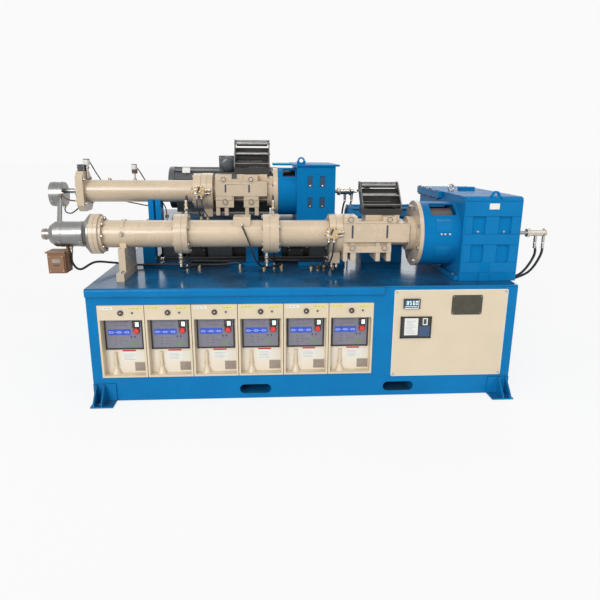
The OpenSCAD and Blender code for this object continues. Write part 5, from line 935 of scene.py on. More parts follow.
LONG = {"water_hose_1": 52, "water_hose_2": 52}
for name, (diameter, leaves, enters, points) in HOSES.items():
    if "lead" in name:
        continue
    ferrule(points[0], leaves, diameter, LONG.get(name, diameter * 1.7))
    back = tuple(-c for c in enters)
    ferrules.turned(points[-1], back, ((0, diameter * 0.86), (1, diameter * 0.92),
                    (9, diameter * 0.92), (10, diameter * 0.8)), 6, 1)
    ferrules.turned(points[-1], back, ((9.5, diameter * 0.7), (16, diameter * 0.66),
                    (17, diameter * 0.52)), 20, 0)
ferrules.done(0.3)

# %% [markdown]
# The feed blocks are held by cap screws in round bosses: a pale ring, a dark gap and a screw
# with a hexagon socket. The profile of the screw goes in again at the socket, so the hole is
# real. The dark ring on the floor of the gap and the dark hexagon on the floor of the socket
# are painted shade. The six-sided CAD heads stay inside the turned ones.

# %% Cap screws of the feed blocks
caps = Piece("feed_cap_screws", "bolt_steel", finish["cream_paint"], film["ink_and_shade"])


def cap_screw(x, face, z, boss, r=14.5, high=11):
    """A socket screw on an upright face that looks to the front."""
    caps.ring((x, face, z), OUT, r + 4.4, r + boss, -1.0, 6.0, 36, 0)
    # A dark ring on the floor of the gap round the head: painted shade
    caps.ring((x, face, z), OUT, r + 0.4, r + 4.6, -0.5, 0.6, 36, 1)
    caps.turned((x, face, z), OUT, ((0, r), (high - 1.2, r), (high, r - 1.2), (high, r * 0.5),
                (high - 6, r * 0.5), (high - 6.1, 0.5)), 30, 0)
    # A dark hexagon on the floor of the socket: painted shade
    caps.turned((x, face, z), OUT, ((high - 6, r * 0.49), (high - 4.6, r * 0.49)), 6, 1)


for face, z, boss, xs in ((245, 1182, 11, (1730.5, 1998.1)), (251, 986, 9, (1748.1, 1970.3)),
                          (865, 1414, 11, (835.4, 1044.4)), (871, 1241, 9, (844.7, 1044.2))):
    for x in xs:
        cap_screw(x, face, z, boss)
caps.done(0.3)

# %% [markdown]
# Each cover plate is flush with the block. A dark joint line and small countersunk screws
# show where it ends; the two long slots look black inside, so a dark back, which is painted
# shade, closes them.

# %% Joints, screws and slots of the feed covers
joints = Piece("feed_cover_joints_and_slot_shade", "cream_paint", film["ink_and_shade"], finish["bolt_steel"])
COVERS = ((1685.0, 2139.5, 245.0, 1026.4, 1154.6, ((1744.5, 1052.9, 90.2), (1984.1, 1052.9, 90.2))),
          (772.4, 1169.3, 865.0, 1286.4, 1400.6, ((849.4, 1313.7, 60.6), (1030.4, 1313.7, 60.6))))
for x0, x1, y, z0, z1, slots in COVERS:
    for low, high in (((x0, z0 - 0.8), (x1, z0 + 0.6)), ((x0, z1 - 0.6), (x1, z1 + 0.8)),
                      ((x1 - 0.6, z0), (x1 + 0.9, z1))):
        joints.box((low[0], y - 0.25, low[1]), (high[0], y + 0.4, high[1]), 0)
    # A dark back in each slot: painted shade
    for x, z, h in slots:
        label(joints, x - 6.3, y + 1.8, z, 12.6, h, 0, 0.4, 6.1)
    for x in (x0 + 14, (x0 + x1) / 2, x1 - 14):
        for z in (z0 + 11, z1 - 11):
            joints.turned((x, y, z), OUT, ((-0.5, 4.2), (0.5, 4.2), (0.9, 3.6)), 18, 1)
            joints.box((x - 3, y - 1.1, z - 0.5), (x + 3, y - 0.85, z + 0.5), 0)
joints.done(0.0)

# %% [markdown]
# The big gearbox is a casting. Its front has raised pads between the rows of pockets, which
# give the long horizontal lines of the real one, and a blank plate where a maker would put
# one. The pads are plates a few millimetres thick with rounded corners, in the same paint.

# %% Pads and the blank plate of the front gearbox
pads = Piece("front_gearbox_pads", "blue_paint", finish["blue_paint"])
for x, z, w, h in ((2470, 1219, 385, 96), (2470, 1319.5, 164, 24), (2712, 1319.5, 143, 24),
                   (2470, 1030, 385, 66), (2470, 838, 128, 66), (2670, 838, 185, 66),
                   (2480, 909, 46, 116), (2619, 909, 86, 116), (2797, 909, 52, 116),
                   (2480, 1101, 46, 113), (2619, 1101, 86, 113), (2797, 1101, 52, 113)):
    label(pads, x, 120.2, z, w, h, 0, 3.4 if w > 90 else 1.9, 5)
pads.done(1.0)
plates = Piece("blank_plates", "panel_paint", film["paper"], finish["bolt_steel"])
label(plates, 2631, 116.9, 1264, 68, 39, 0, 1.3, 3)
plates.screws((2636, 2694), 115.6, (1269, 1298), ((0, 1.8), (0.6, 1.4)), 10)
plates.done(0.2)

# %% [markdown]
# The neck's windows are covered inside by perforated guards: without them the turning shaft
# could be touched. Rows of dark studs on a bent sheet read as a guard from every side. The
# dark brown sheet and black studs are also painted shade for the dark inside of the neck
# seen through the windows. The same bent sheet, laid outside, makes the raised cover pads on
# the front line's neck.

# %% Guards in the neck windows and pads on the front neck
guards = Piece("neck_guards_and_window_shade", "dark_paint", film["bezel_and_shade"], film["ink_and_shade"])
covers = Piece("neck_pads", "blue_paint", finish["blue_paint"], finish["bolt_steel"])


def round_way(turn):
    """Outward from a screw's axis, turned from straight up towards the front."""
    t = math.radians(turn)
    return Vector((0, -math.sin(t), math.cos(t)))


def bent(piece, x0, x1, axis, inner, outer, start, stop, look, pieces=8):
    """A sheet bent about a screw's axis, from one turn to another in degrees."""
    corners, loops = [], []
    for k in range(pieces + 1):
        way = round_way(start + (stop - start) * k / pieces)
        for x, r in ((x0, inner), (x1, inner), (x1, outer), (x0, outer)):
            corners.append(Vector((x, *axis)) + way * r)
        if k:
            b = 4 * (k - 1)
            loops += [(b + i, b + (i + 1) % 4, b + (i + 1) % 4 + 4, b + i + 4) for i in range(4)]
    last = 4 * pieces
    piece.add(corners, [(3, 2, 1, 0), (last, last + 1, last + 2, last + 3), *loops], look)


# The guards' dark brown sheet and black studs are painted shade inside the windows
for x0, x1, axis, r in ((2262, 2436, FRONT_AXIS, 186), (1288, 1388, REAR_AXIS, 128)):
    for turn in (32, -32):
        bent(guards, x0, x1, axis, r - 2, r, turn - 17, turn + 17, 0)
        for k in range(8):
            way = round_way(turn - 15 + k * 30 / 7)
            for m in range(int((x1 - x0) / 14)):
                spot = Vector((x0 + 7 + 14 * m, *axis)) + way * (r - 0.3)
                guards.turned(spot, way, ((0, 3.6), (0.7, 3.2)), 8, 1)
guards.done(0.0)
for start, stop in ((56, 80), (103, 126)):
    bent(covers, 2300, 2408, FRONT_AXIS, 221, 226, start, stop, 0)
    bent(covers, 2310, 2398, FRONT_AXIS, 224, 228.5, start + 3, stop - 3, 0)
for x in (2335, 2360, 2392):
    way = round_way(84)
    covers.turned(Vector((x, *FRONT_AXIS)) + way * 221, way, ((0, 8), (6, 8), (7, 6)), 6, 1)
covers.done(0.8)

# %% [markdown]
# Sensors sit on the rear line: a melt-pressure head with its white cap on a steel bracket,
# a dark junction box beside it, and a temperature probe farther on. The CAD solids are their
# plain outline; the caps, bracket and nuts go over them.

# %% Sensor caps, bracket and nuts
sensors = Piece("sensor_parts", "instrument_plastic",
                plastic("sensor_white", (0.70, 0.68, 0.65), (0.3, 0.45), coat=0.1),
                finish["nickel"], finish["dark_paint"],
                plastic("sensor_brown", (0.10, 0.045, 0.04), (0.35, 0.5)))
sx, sy = -217.7, 1000.0
sensors.turned((sx, sy, 1513.6), UP, ((0, 22), (1.5, 24.6), (38, 24.6), (43.5, 20), (44.2, 8)), 32)
sensors.ring((sx, sy, 1523), UP, 24.4, 25.6, 0, 3, 32)
sensors.turned((sx, sy, 1402), UP, ((0, 15), (12, 15), (12.5, 11)), 6, 1)
sensors.turned((sx, sy, 1414), UP, ((0, 10), (60, 10), (60.5, 13), (72, 13), (73, 10)), 24, 1)
sensors.turned((sx, sy, 1486), UP, ((0, 16), (2, 18), (16, 18), (17, 15), (27, 14)), 8, 1)
sensors.box((-242, 988, 1400.4), (-196, 1012, 1404), 1)
sensors.box((-244, 986, 1400.4), (-240, 1014, 1452), 1)
for z in (1472, 1512):
    sensors.box((-283.2, 964, z), (-226, 1036, z + 2), 2)
sensors.screws((-276, -234), 965, (1478, 1505), ((-0.5, 3.4), (1.4, 3.0), (1.5, 1.2)), 12)
px = 142.0
sensors.turned((px, sy, 1401), UP, ((0, 13), (10, 13), (10.5, 9)), 6, 1)
sensors.turned((px, sy, 1412), UP, ((0, 7.6), (37, 7.6), (38, 11), (41, 13)), 20, 1)
sensors.turned((px, sy, 1449.5), UP, ((0, 19), (1.5, 21.5), (30, 21.5), (31, 20)), 28, 3)
sensors.turned((px, sy, 1480.5), UP, ((0, 21), (1, 21.6), (34, 21.6), (38, 18), (40.2, 8)), 28, 0)
sensors.done(0.3)

# %% [markdown]
# Two flanges meet at each joint of a barrel, so there is a fine dark gap round it. Thin rings
# in a dark finish, a hair proud of the steel, draw the gaps.

# %% Joint lines of the flanges
seams = Piece("flange_seams", "cream_paint", film["ink_and_shade"])
for axis, places in ((FRONT_AXIS, ((6.0, 136.1), (585.0, 136.1), (1182.0, 136.1),
                                   (1589.4, 135.1), (1636.0, 135.1), (2190.2, 118.1))),
                     (REAR_AXIS, ((661.0, 139.1), (706.0, 139.1), (1184.0, 118.1)))):
    for x, r in places:
        seams.ring((x, *axis), RIGHT, r - 2, r + 0.25, -0.6, 0.9, 64)
seams.done(0.0)

# %% [markdown]
# Cooling water is shared out by small blocks beside each feed collar. A block carries hex
# plugs, short pipes with nuts and a flat lever. Most of it is nickel plated and the rest is
# brass. The lever is a plate made from an outline.

# %% Valves and plugs on the water blocks
valves = Piece("water_valves", "brass", finish["nickel"], finish["brass"], finish["dark_paint"])


def nut(base, way, r, high, look=0):
    valves.turned(base, way, ((0, r * 0.93), (high * 0.14, r), (high * 0.86, r), (high, r * 0.93)),
                  6, look)


def pipe(base, way, r, long, look=0):
    valves.turned(base, way, ((0, r), (long, r)), 20, look)


for bx, by, bz in ((1560.2, 216.7, 1058.8), (610.0, 832.7, 1293.6)):
    for dx in (20, 56):
        pipe((bx + dx, by + 14, bz + 56), UP, 10, 6)
        nut((bx + dx, by + 14, bz + 58), UP, 13, 10)
        pipe((bx + dx, by + 14, bz + 68), UP, 8, 5, 1)
        nut((bx + dx, by + 14, bz - 11.5), UP, 13.6, 11)
    for dx, dz, r in ((16, 15, 13), (16, 42, 11), (44, 28, 15), (68, 16, 9), (68, 42, 9)):
        nut((bx + dx, by, bz + dz), OUT, r, 8 if r > 12 else 6, 0 if r > 9 else 1)
        valves.turned((bx + dx, by - 6, bz + dz), OUT, ((0, r * 0.55), (5, r * 0.55),
                      (6, r * 0.4)), 18, 0)
    pipe((bx + 80, by + 14, bz + 40), RIGHT, 9, 44)
    nut((bx + 80, by + 14, bz + 40), RIGHT, 13, 11)
    nut((bx + 100, by + 14, bz + 40), RIGHT, 12, 9, 1)
    pipe((bx + 80, by + 14, bz + 15), RIGHT, 8, 40)
    nut((bx + 84, by + 14, bz + 15), RIGHT, 11.5, 10)
    nut((bx - 9.5, by + 14, bz + 28), RIGHT, 12, 10)
    valves.plate((bx + 36, by - 15.2, bz + 22), (0.34, 0, 0.94), (-0.94, 0, 0.34),
                 rounded(44, 11, 4), 2.2, 2)
    nut((bx + 44, by - 14.5, bz + 28), OUT, 5, 6, 0)
valves.done(0.3)

# %% [markdown]
# The nipples under and over the flanges carry small ball valves. Their bodies are turned
# over the plain CAD nipples: a hexagon, a ball housing, another hexagon, and a short lever.

# %% Nipple fittings
nipples = Piece("nipple_fittings", "brass", finish["nickel"], finish["brass"],
                finish["dark_paint"])


def fitting(x, y, z, way, r, long):
    base = Vector((x, y, z))
    way = Vector(way)
    nipples.turned(base, way, ((0, r + 4), (1, r + 5), (9, r + 5), (10, r + 3.4)), 6, 0)
    nipples.turned(base + 10 * way, way, ((0, r + 0.5), (long * 0.16, r + 0.8),
                   (long * 0.22, r + 4), (long * 0.44, r + 4.6), (long * 0.5, r + 1.0),
                   (long - 22, r + 0.8)), 24, 0)
    nipples.turned(base + (long - 12) * way, way, ((0, r + 3.4), (1, r + 4.2), (10, r + 4.2),
                   (11, r + 3)), 6, 1)
    middle = base + (10 + long * 0.33) * way
    nipples.turned(middle, OUT, ((r, 5), (r + 10, 5), (r + 11, 4)), 14, 0)
    nipples.plate(middle + Vector((-6, -r - 9, -6)), (0.94, 0, -0.34), (0.34, 0, 0.94),
                  rounded(40, 11, 4), 2.4, 2)


for x in (559.0, 1158.5):
    fitting(x, 380, 933.7, DOWN, 12, 71)
for x in (612.2, 1206.2):
    fitting(x, 380, 1206.3, UP, 9, 69)
for x, y, z, way, r in ((-184.1, 380, 984.7, DOWN, 10), (-415.5, 1000, 1198.7, DOWN, 10),
                        (-52.6, 1000, 1400.3, UP, 10)):
    nipples.turned((x, y, z), way, ((0, r + 4), (1, r + 5), (8, r + 5), (9, r + 3)), 6, 0)
    nipples.turned((x, y, z), way, ((8, r + 0.6), (16.4, r + 0.6), (16.6, r - 2)), 20, 1)
for x in (1619.7, 1654.3):
    nipples.turned((x, 380, 864.2), DOWN, ((0, 15), (1, 16.5), (9, 16.5), (10, 14)), 6, 0)
nipples.done(0.3)

# %% [markdown]
# Under the rear line lies what every such machine hides there: a steel wiring trunk with a
# lid, junction boxes, and the thick rubber hoses between the units and the barrels, side by
# side on the deck. They are long dark shapes, and the deck reflects them.

# %% Wiring trunk and boxes under the rear line
trunk = Piece("wiring_trunk", "dark_paint", finish["dark_paint"], finish["bolt_steel"],
              finish["motor_paint"], finish["blue_paint"])
trunk.box((330, 905, 781), (1655, 1015, 886), 0)
trunk.box((326, 901, 886), (1659, 1019, 893), 0)
for k in range(9):
    x = 395 + 150 * k
    trunk.box((x, 900.4, 788), (x + 5, 904.9, 893), 0)
    trunk.turned((x + 40, 900.6, 880), OUT, ((-0.5, 5), (2, 4.6), (2.8, 2)), 14, 1)
for x, w, h, look in ((352, 150, 118, 2), (560, 120, 96, 0), (700, 190, 132, 2),
                      (1130, 150, 108, 3), (1330, 120, 92, 0), (1500, 130, 124, 2)):
    trunk.plate((x, 899, 786), RIGHT, UP, rounded(w, h, 6), 44, look)
    trunk.plate((x + 5, 855, 791), RIGHT, UP, rounded(w - 10, h - 10, 4), 4, look)
    trunk.screws((x + 12, x + w - 12), 851, (798, 774 + h), ((0, 4), (1.2, 3.6), (1.3, 1.5)), 12)
trunk.done(0.8)

# %% Hoses lying under the rear line
LAID = [(26, 832, 793.5, 18, 0.0), (26, 800, 793.5, 14, 0.6), (22, 816, 815.5, 16, 1.9),
        (30, 1060, 795.5, 20, 1.0), (24, 1098, 792.5, 18, 2.2)]
LAID_FROM, LAID_TO = 336, 1648
for number, (bore, y, z, swing, phase) in enumerate(LAID, 1):
    stops = [(LAID_FROM, y, z)]
    for k in range(1, 12):
        x = LAID_FROM + (LAID_TO - LAID_FROM) * k / 12
        stops.append((x, y + swing * math.sin(k * 0.9 + phase) * math.sin(math.pi * k / 12), z))
    stops.append((LAID_TO, y, z))
    path = centreline(stops, bore, RIGHT, RIGHT)
    laid = curve(f"laid_hose_{number}", path, bore, finish["hose_rubber"])
    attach(laid, "frame")
    print(f"laid_hose_{number}", round(length_of(path)), "mm")
ends = Piece("laid_hose_ends", "brass", finish["nickel"], finish["dark_paint"])
for x0, x1 in ((322.5, 332), (1652, 1661.5)):
    ends.box((x0, 786, 778.3), (x1, 1118, 836), 1)
for bore, y, z, swing, phase in LAID:
    for x, way in ((331.5, RIGHT), (1652.5, LEFT)):
        ends.turned((x, y, z), way, ((0, bore * 0.56), (6, bore * 0.56), (6.5, bore * 0.52)), 6, 0)
        ends.turned((x, y, z), way, ((6, bore * 0.53), (34, bore * 0.53), (35, bore * 0.5)), 20, 0)
ends.done(0.3)

# %% [markdown]
# The hoppers are folded steel frames whose edges are worn bright. Rods along the sloping
# front edges and across them stand for the rolled rims, and the chute gets its two bright
# wear strips. Hexagon heads go on the sides. The rods follow the same outline as the CAD side
# plates.

# %% Bright rims of the hoppers
rims = Piece("hopper_rims", "bright_steel",
             metal("rim_steel", (0.26, 0.25, 0.24), (0.26, 0.46), stains=0.8))
SLOPE = ((-0.085, 0.31), (0.215, 0.575), (0.675, 0.975))  # shares of a hopper's depth and height
HOPPER_DEPTH = 190


def rod(piece, a, b, r, look=0, sides=12):
    a, b = Vector(a), Vector(b)
    piece.turned(a, b - a, ((0, r), ((b - a).length, r)), sides, look)


def hopper_rims(x0, x1, axis_y, base_z, high):
    def spot(x, s):
        return (x, axis_y + s[0] * HOPPER_DEPTH, base_z + s[1] * high)

    for x in (x0 + 4, x1 - 4):
        for a, b in zip(SLOPE, SLOPE[1:]):
            rod(rims, spot(x, a), spot(x, b), 4.6)
        rod(rims, spot(x, SLOPE[-1]), spot(x, (0.985, 0.975)), 3.6)
        rod(rims, spot(x, SLOPE[0]), spot(x, (-0.085, 0.11)), 3.6)
    for s in SLOPE:
        rod(rims, spot(x0 + 4, s), spot(x1 - 4, s), 3.8)
    for s in ((0.02, 0.25), (0.79, 0.885), (0.47, 0.58)):
        for x in (x0 - 4, x1 + 1):
            rims.turned(spot(x, s), RIGHT, ((0, 9), (3, 9), (3.4, 7)), 6, 0)
    for share in (0.3, 0.62):
        a = (0.30 + 0.6 * share - 0.014, 0.19 + 0.52 * share + 0.02)
        rod(rims, spot(x0 + 22, a), spot(x1 - 60, a), 1.8, 0, 8)


hopper_rims(1826.3, 2104.3, 380, 1203, 217)
hopper_rims(913.6, 1191.6, 1000, 1449, 262)
rims.done(0.0)

# %% [markdown]
# Heads: both have two clamp bands, each with its screw. The front one has a nozzle hub, and
# a brown sleeved lead leaves the rear one. The terminal box under the front head gets its
# lid screws, two blank plates and a cable gland.

# %% Nozzle hub, clamp bands and the terminal box
heads = Piece("head_details", "bright_steel", finish["bright_steel"], finish["bolt_steel"],
              metal("hub_steel", (0.44, 0.33, 0.30), (0.2, 0.36), stains=0.6), film["ink_and_shade"])
heads.turned((-364, 380, 1070), RIGHT, ((0, 31), (2, 36), (20, 39), (24, 39), (25, 34), (52, 34),
             (52.5, 30)), 40, 2)
# A dark disc on the nozzle's end: painted shade for its opening
heads.turned((-364.3, 380, 1070), RIGHT, ((0, 17), (0.4, 16)), 24, 3)
for x, y, z, r in ((-232, 380, 1070, 85.2), (-96, 380, 1070, 85.2), (-478, 1000, 1291, 92.2),
                   (-416, 1000, 1291, 92.2)):
    heads.ring((x, y, z), RIGHT, r - 1, r + 1.4, -9, 9, 64, 0)
    for k in (-6, 6):
        heads.ring((x + k, y, z), RIGHT, r, r + 2.2, -0.7, 0.7, 64, 1)
    way = round_way(118)
    spot = Vector((x, y, z)) + way * (r + 1)
    heads.turned(spot, way, ((0, 7), (9, 7), (10, 5.5)), 6, 1)
    heads.turned(spot + Vector((-11, 0, 0)), RIGHT, ((0, 3), (22, 3)), 10, 1)
heads.done(0.3)
box = Piece("terminal_box_details", "brown_paint", finish["brown_paint"], finish["bolt_steel"],
            film["ink_and_shade"], film["card"])
box.plate((-320, 309, 818), RIGHT, UP, rounded(102, 116, 5), 2.4, 0)
box.screws((-312, -226), 306.6, (826, 926), ((0, 3.6), (1.4, 3.2), (1.5, 1.4)), 14)
label(box, -288, 306.4, 862, 38, 9, 2, 0.4, 1)
label(box, -296, 306.4, 884, 54, 26, 3, 0.5, 2)
box.turned((-269, 350, 809), DOWN, ((-1, 13), (-0.2, 13)), 6, 1)
box.done(0.4)

# %% The brown sleeved lead of the rear head
stops = [(-392, 906.5, 1300), (-386, 884, 1292), (-362, 872, 1272), (-330, 874, 1256),
         (-300, 884, 1250), (-282.2, 890, 1250)]
path = centreline(stops, 11, OUT, RIGHT)
sleeve = plastic("sleeve_brown", (0.14, 0.05, 0.03), (0.5, 0.7), grain=300.0, depth=0.3)
lead = curve("brown_lead", path, 11, sleeve)
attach(lead, "frame")
print("brown_lead", round(length_of(path)), "mm")
glands = Piece("lead_glands", "brass", finish["nickel"])
glands.turned((-392, 911, 1300), OUT, ((0, 11), (8, 11), (9, 8), (16, 8)), 6, 0)
glands.turned((-281.8, 890, 1250), LEFT, ((-1, 10), (7, 10), (8, 8), (14, 8)), 6, 0)
glands.done(0.3)

# %% [markdown]
# Motors: cooling ribs come with the CAD solid. Added here are the grille of each cowl, and on
# the rear motor the lid of its box with four screws, two blank plates and three hexagon
# plugs. The grille is rings and spokes, as pressed sheet has. A dark disc behind each grille
# is painted shade for the inside of the cowl.

# %% Motor grilles, lids and blank plates
motors = Piece("motor_details", "motor_paint", finish["motor_paint"], finish["bolt_steel"],
               film["ink_and_shade"], film["paper"], finish["blue_paint"])
for x, y, z, r, look in ((350, 1431, 1316, 150, 0), (1800, 930, 1070, 126, 4)):
    # A dark disc behind the grille: painted shade inside the cowl
    motors.turned((x, y, z), LEFT, ((-0.5, r), (0.6, r - 2)), 48, 2)
    for k in range(6):
        q = r * (0.16 + 0.16 * k)
        motors.ring((x, y, z), LEFT, q - 2.2, q, 0.4, 3.4, 48, look)
    for k in range(8):
        hub, way = Vector((x - 3.2, y, z)), round_way(45 * k + 22.5)
        rod(motors, hub + way * 14, hub + way * (r - 6), 2.4, look, 8)
    motors.turned((x, y, z), LEFT, ((0, 16), (4, 16), (5, 14)), 20, look)
motors.plate((775, 1338, 1500), RIGHT, UP, rounded(238, 76, 8), 4, 0)
motors.screws((785, 1003), 1334, (1508, 1568), ((0, 5), (2, 4.6), (2.2, 2)), 14)
label(motors, 850, 1333.6, 1522, 80, 34, 3, 0.6, 2)
motors.plate((468, 1284, 1444), RIGHT, (0, 0.35, 0.94), rounded(64, 46, 3), 1.2, 3)
for k in range(3):
    motors.turned((800 + 40 * k, 1431, 1576), UP, ((-2, 5), (6, 5), (7, 4)), 6, 1)
motors.done(0.6)

# %% [markdown]
# The rear gearbox has deep dark pockets with a bright screw in each. The recess is in the CAD
# solid; a thin darker sheet on its floor stands for the shadow and the dirt that gather there.

# %% Pocket backs of the rear gearbox
backs = Piece("rear_gearbox_backs", "blue_paint",
              plastic("pocket_shade", (0.008, 0.045, 0.095), (0.4, 0.5)), finish["bolt_steel"])
for x, w in ((1478.3, 39.7), (1570.9, 42.6)):
    for z, h in ((1199, 83), (1355, 86)):
        label(backs, x + 3, 806.9, z + 3, w - 6, h - 6, 0, 0.5, 3)
        backs.turned((x + w / 2, 806.4, z + 16), OUT, ((0, 7), (4, 6.6), (5, 4)), 6, 1)
backs.done(0.2)

# %% [markdown]
# The photograph shows the cabinet's front only. Such a cabinet is reached from behind, so the
# back gets three flush doors round the vents and the ends get one each: a fine dark gap, lift
# hinges on one side, quarter-turn latches on the other, and a gland plate for the supply. The
# gap is a thin strip laid on the sheet, which costs no cut in the CAD solid.

# %% Doors, hinges, latches and the gland plate of the cabinet
doors = Piece("cabinet_doors", "blue_paint", film["ink_and_shade"], finish["blue_paint"],
              finish["bolt_steel"], finish["dark_paint"])
GAP = 2.4


def door(corner, along, way, wide, high):
    """Gap, hinges and latches of a flush door; way is outward, along runs to the hinges."""
    corner, along, way = Vector(corner), Vector(along), Vector(way)
    up = Vector(UP)
    for base, w, h in ((corner, wide, GAP), (corner + up * (high - GAP), wide, GAP),
                       (corner, GAP, high), (corner + along * (wide - GAP), GAP, high)):
        doors.plate(base, along, up, ((0, 0), (w, 0), (w, h), (0, h)), 0.4, 0)
    for share in (0.14, 0.86):
        hinge = corner + along * (wide + 1) + up * (high * share - 30) + way * 5
        doors.turned(hinge, UP, ((0, 4.5), (0.6, 5.5), (28, 5.5), (28.4, 4.6), (29.6, 4.6),
                     (30, 5.5), (59, 5.5), (60, 4.5)), 16, 1)
        doors.plate(hinge - along * 22 - way * 5, along, up, rounded(44, 60, 3), 2.2, 1)
        latch = corner + along * 26 + up * high * share
        doors.turned(latch, way, ((0, 13), (2.5, 13), (3.2, 11.5)), 28, 2)
        doors.plate(latch - along * 8 - up * 1.4 + way * 3.2, along, up, rounded(16, 2.8, 1), 0.5)


for x in (985, 1835, 2685):
    door((x, 1700, 208), (-1, 0, 0), BACK, 830, 500)
door((0, 1560, 150), (0, -1, 0), LEFT, 700, 560)
door((2830, 150, 150), BACK, RIGHT, 380, 560)
doors.plate((2830, 1120, 180), BACK, UP, rounded(300, 170, 6), 3, 1)
for y in (1132, 1408):
    for z in (192, 338):
        doors.turned((2833, y, z), RIGHT, ((0, 5), (1.8, 4.6), (2.2, 2)), 14, 2)
for y, r in ((1175, 21), (1245, 21), (1310, 15), (1365, 15)):
    doors.turned((2833, y, 265), RIGHT, ((0, r), (8, r)), 6, 3)
    doors.turned((2841, y, 265), RIGHT, ((0, r * 0.84), (15, r * 0.84), (19, r * 0.6)), 28, 3)
doors.done(0.3)

# %% [markdown]
# The stand is bolted through its foot, and its strap is drawn together by a screw on each
# side. A washer and a head are turned from short profiles, as bolts are anyway.

# %% Bolts of the stand's foot and screws of its strap
holds = Piece("stand_details", "bolt_steel", finish["bolt_steel"], finish["cream_paint"])


def foot_bolt(x, y, z, r):
    holds.turned((x, y, z), UP, ((0, r * 1.5), (2.2, r * 1.5), (2.4, r * 1.4)), 24)
    holds.turned((x, y, z + 2.3), UP, ((0, r), (r * 0.9, r), (r * 1.05, r * 0.8)), 6)


for y in (190, 228):
    foot_bolt(185.5, y, 832, 9)
for way in (1, -1):
    for k in (0, 1):
        spot = (185.5, 380 + way * 101, 1076 + 12 * k)
        holds.box((spot[0] - 11, spot[1] - 8, spot[2]), (spot[0] + 11, spot[1] + 8, spot[2] + 6), 1)
    holds.turned((185.5, 380 + way * 102, 1066), UP, ((0, 7), (8, 7)), 6)
    holds.turned((185.5, 380 + way * 102, 1070), UP, ((0, 3.4), (32, 3.4), (33, 2.6)), 14)
holds.done(0.4)

# %% [markdown]
# The rear motor's connection box starts with a round drum, and cables leave it through
# glands. Unions are built up from hexagons, elbows and hose tails, so a few more nuts go over
# the plain CAD bodies.

# %% Drum of the rear motor's box, nuts of the unions
drum = Piece("motor_drum", "motor_paint", finish["motor_paint"], finish["bolt_steel"])
drum.turned((842, 1345, 1514), OUT, ((0, 66), (18, 66), (30, 62), (40, 50), (44, 30)), 48, 0)
for k in range(6):
    a = math.radians(60 * k + 20)
    drum.turned((842 + 56 * math.cos(a), 1325, 1514 + 56 * math.sin(a)), OUT,
                ((0, 5), (8, 5), (9, 4)), 6, 1)
for x in (905, 945, 985):
    drum.turned((x, 1338, 1482), DOWN, ((-6, 12), (4, 12)), 6, 1)
    drum.turned((x, 1338, 1478), DOWN, ((0, 9.6), (16, 9.6), (19, 7)), 24, 0)
drum.done(0.5)
joins = Piece("union_nuts", "bolt_steel", finish["nickel"], finish["brass"])
for x, y, z, r, way in ((3040, 380, 1070, 33, RIGHT), (3150, 380, 1070, 32.5, RIGHT),
                        (1742, 1000, 1316, 31, RIGHT), (1826, 1000, 1316, 32, RIGHT)):
    joins.turned((x, y, z), way, ((0, r * 0.93), (1.4, r), (12, r), (13.4, r * 0.93)), 6, 0)
for x, z in ((3099.5, 1028), (3159.4, 1028)):
    joins.turned((x, 380, z), DOWN, ((0, 12.8), (1.2, 14), (11, 14), (12, 12.8)), 6, 0)
    joins.turned((x, 380, z), DOWN, ((-18, 10.6), (0, 10.6)), 20, 1)
joins.done(0.3)

# %% [markdown]
# The stage is a plain pale floor. The world is the same pale tone where the camera, a
# mirror or glass looks at it, and a softer light elsewhere. A broad sun and two weaker ones
# keep the floor even out to the horizon, and two soft boxes put long highlights on barrels
# and paint.
# Lamps stay at a level at which a colour renders about as it is written.

# %% Floor
PALE = (0.955, 0.955, 0.955)
FLOOR_GLOW, WORLD_LIGHT = 0.80, 0.42


def background_rays(tree):
    """1 where the camera, a mirror or glass looks, for the floor and the world alike."""
    rays = put(tree, "ShaderNodeLightPath").outputs
    either = put(tree, "ShaderNodeMath", rays["Is Camera Ray"], rays["Is Glossy Ray"],
                 operation="MAXIMUM")
    return put(tree, "ShaderNodeMath", either, rays["Is Transmission Ray"], operation="MAXIMUM")


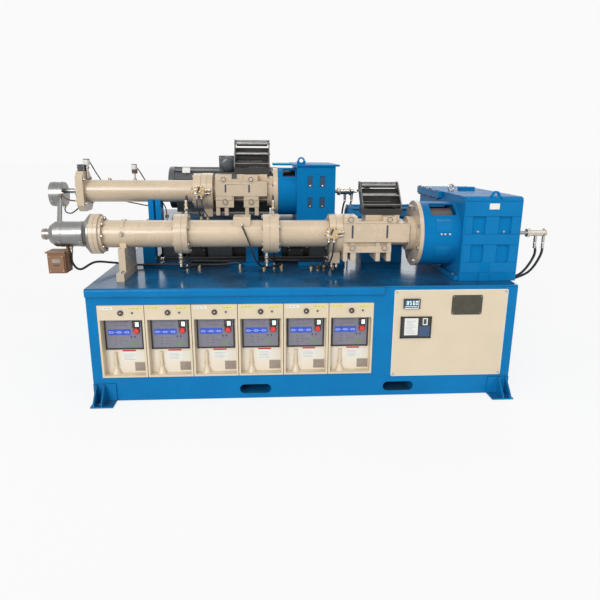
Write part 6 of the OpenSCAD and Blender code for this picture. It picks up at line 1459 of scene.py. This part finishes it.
floor_mesh = bpy.data.meshes.new("floor")
floor = bpy.data.objects.new("floor", floor_mesh)
bpy.context.scene.collection.objects.link(floor)
shape = bmesh.new()
bmesh.ops.create_circle(shape, cap_ends=True, segments=64, radius=60)
shape.to_mesh(floor_mesh)
shape.free()
floor.location.z = -0.0005
floor_look, tree, shader = begin("floor", Base_Color=(0.90, 0.90, 0.90, 1), Roughness=0.85)
paler = put(tree, "ShaderNodeEmission", Color=WHITE)
looked_at = put(tree, "ShaderNodeMath", background_rays(tree), FLOOR_GLOW, operation="MULTIPLY")
both = put(tree, "ShaderNodeMixShader", looked_at, shader, paler)
feed(tree, tree.nodes["Material Output"].inputs["Surface"], both)
floor_mesh.materials.append(floor_look)
floor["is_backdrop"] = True

# %% World
world = bpy.data.worlds.new("studio")
bpy.context.scene.world = world
world.use_nodes = True
tree = world.node_tree
tree.nodes.clear()
end = put(tree, "ShaderNodeOutputWorld")
seen = put(tree, "ShaderNodeBackground", Color=(*PALE, 1))
soft = put(tree, "ShaderNodeBackground", Color=(0.97, 0.985, 1.0, 1), Strength=WORLD_LIGHT)
choice = put(tree, "ShaderNodeMixShader", background_rays(tree), soft, seen)
feed(tree, end.inputs["Surface"], choice)

# %% Lamps


def lamp(name, kind, power, place, target, **values):
    data = bpy.data.lights.new(name, kind)
    data.energy = power
    for key, value in values.items():
        setattr(data, key, value)
    made = bpy.data.objects.new(name, data)
    made.location = at(*place)
    made.rotation_euler = (at(*target) - at(*place)).to_track_quat("-Z", "Y").to_euler()
    bpy.context.scene.collection.objects.link(made)
    return made


CENTRE = (1400, 700, 800)
lamp("sun", "SUN", 1.6, (-900, -4600, 3300), CENTRE, angle=math.radians(28))
lamp("sun_fill", "SUN", 0.35, (5200, -2600, 3200), CENTRE, angle=math.radians(40))
lamp("sun_back", "SUN", 0.5, (2600, 5600, 4200), CENTRE, angle=math.radians(50))
lamp("top_box", "AREA", 22.0, (1200, -1300, 3400), CENTRE, shape="RECTANGLE", size=4.4,
     size_y=0.22)
lamp("left_box", "AREA", 14.0, (-2600, -1900, 2300), CENTRE, shape="RECTANGLE", size=1.2,
     size_y=2.2)
bpy.context.scene.view_settings.view_transform = "Standard"

# %% [markdown]
# Last, the box of what is shown is printed: it must stay inside the CAD model's box, or
# the part would be larger in pictures than in its drawings.

# %% Sizes and the end
low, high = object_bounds()
print("shown", [round(v, 4) for v in (*low, *high)])
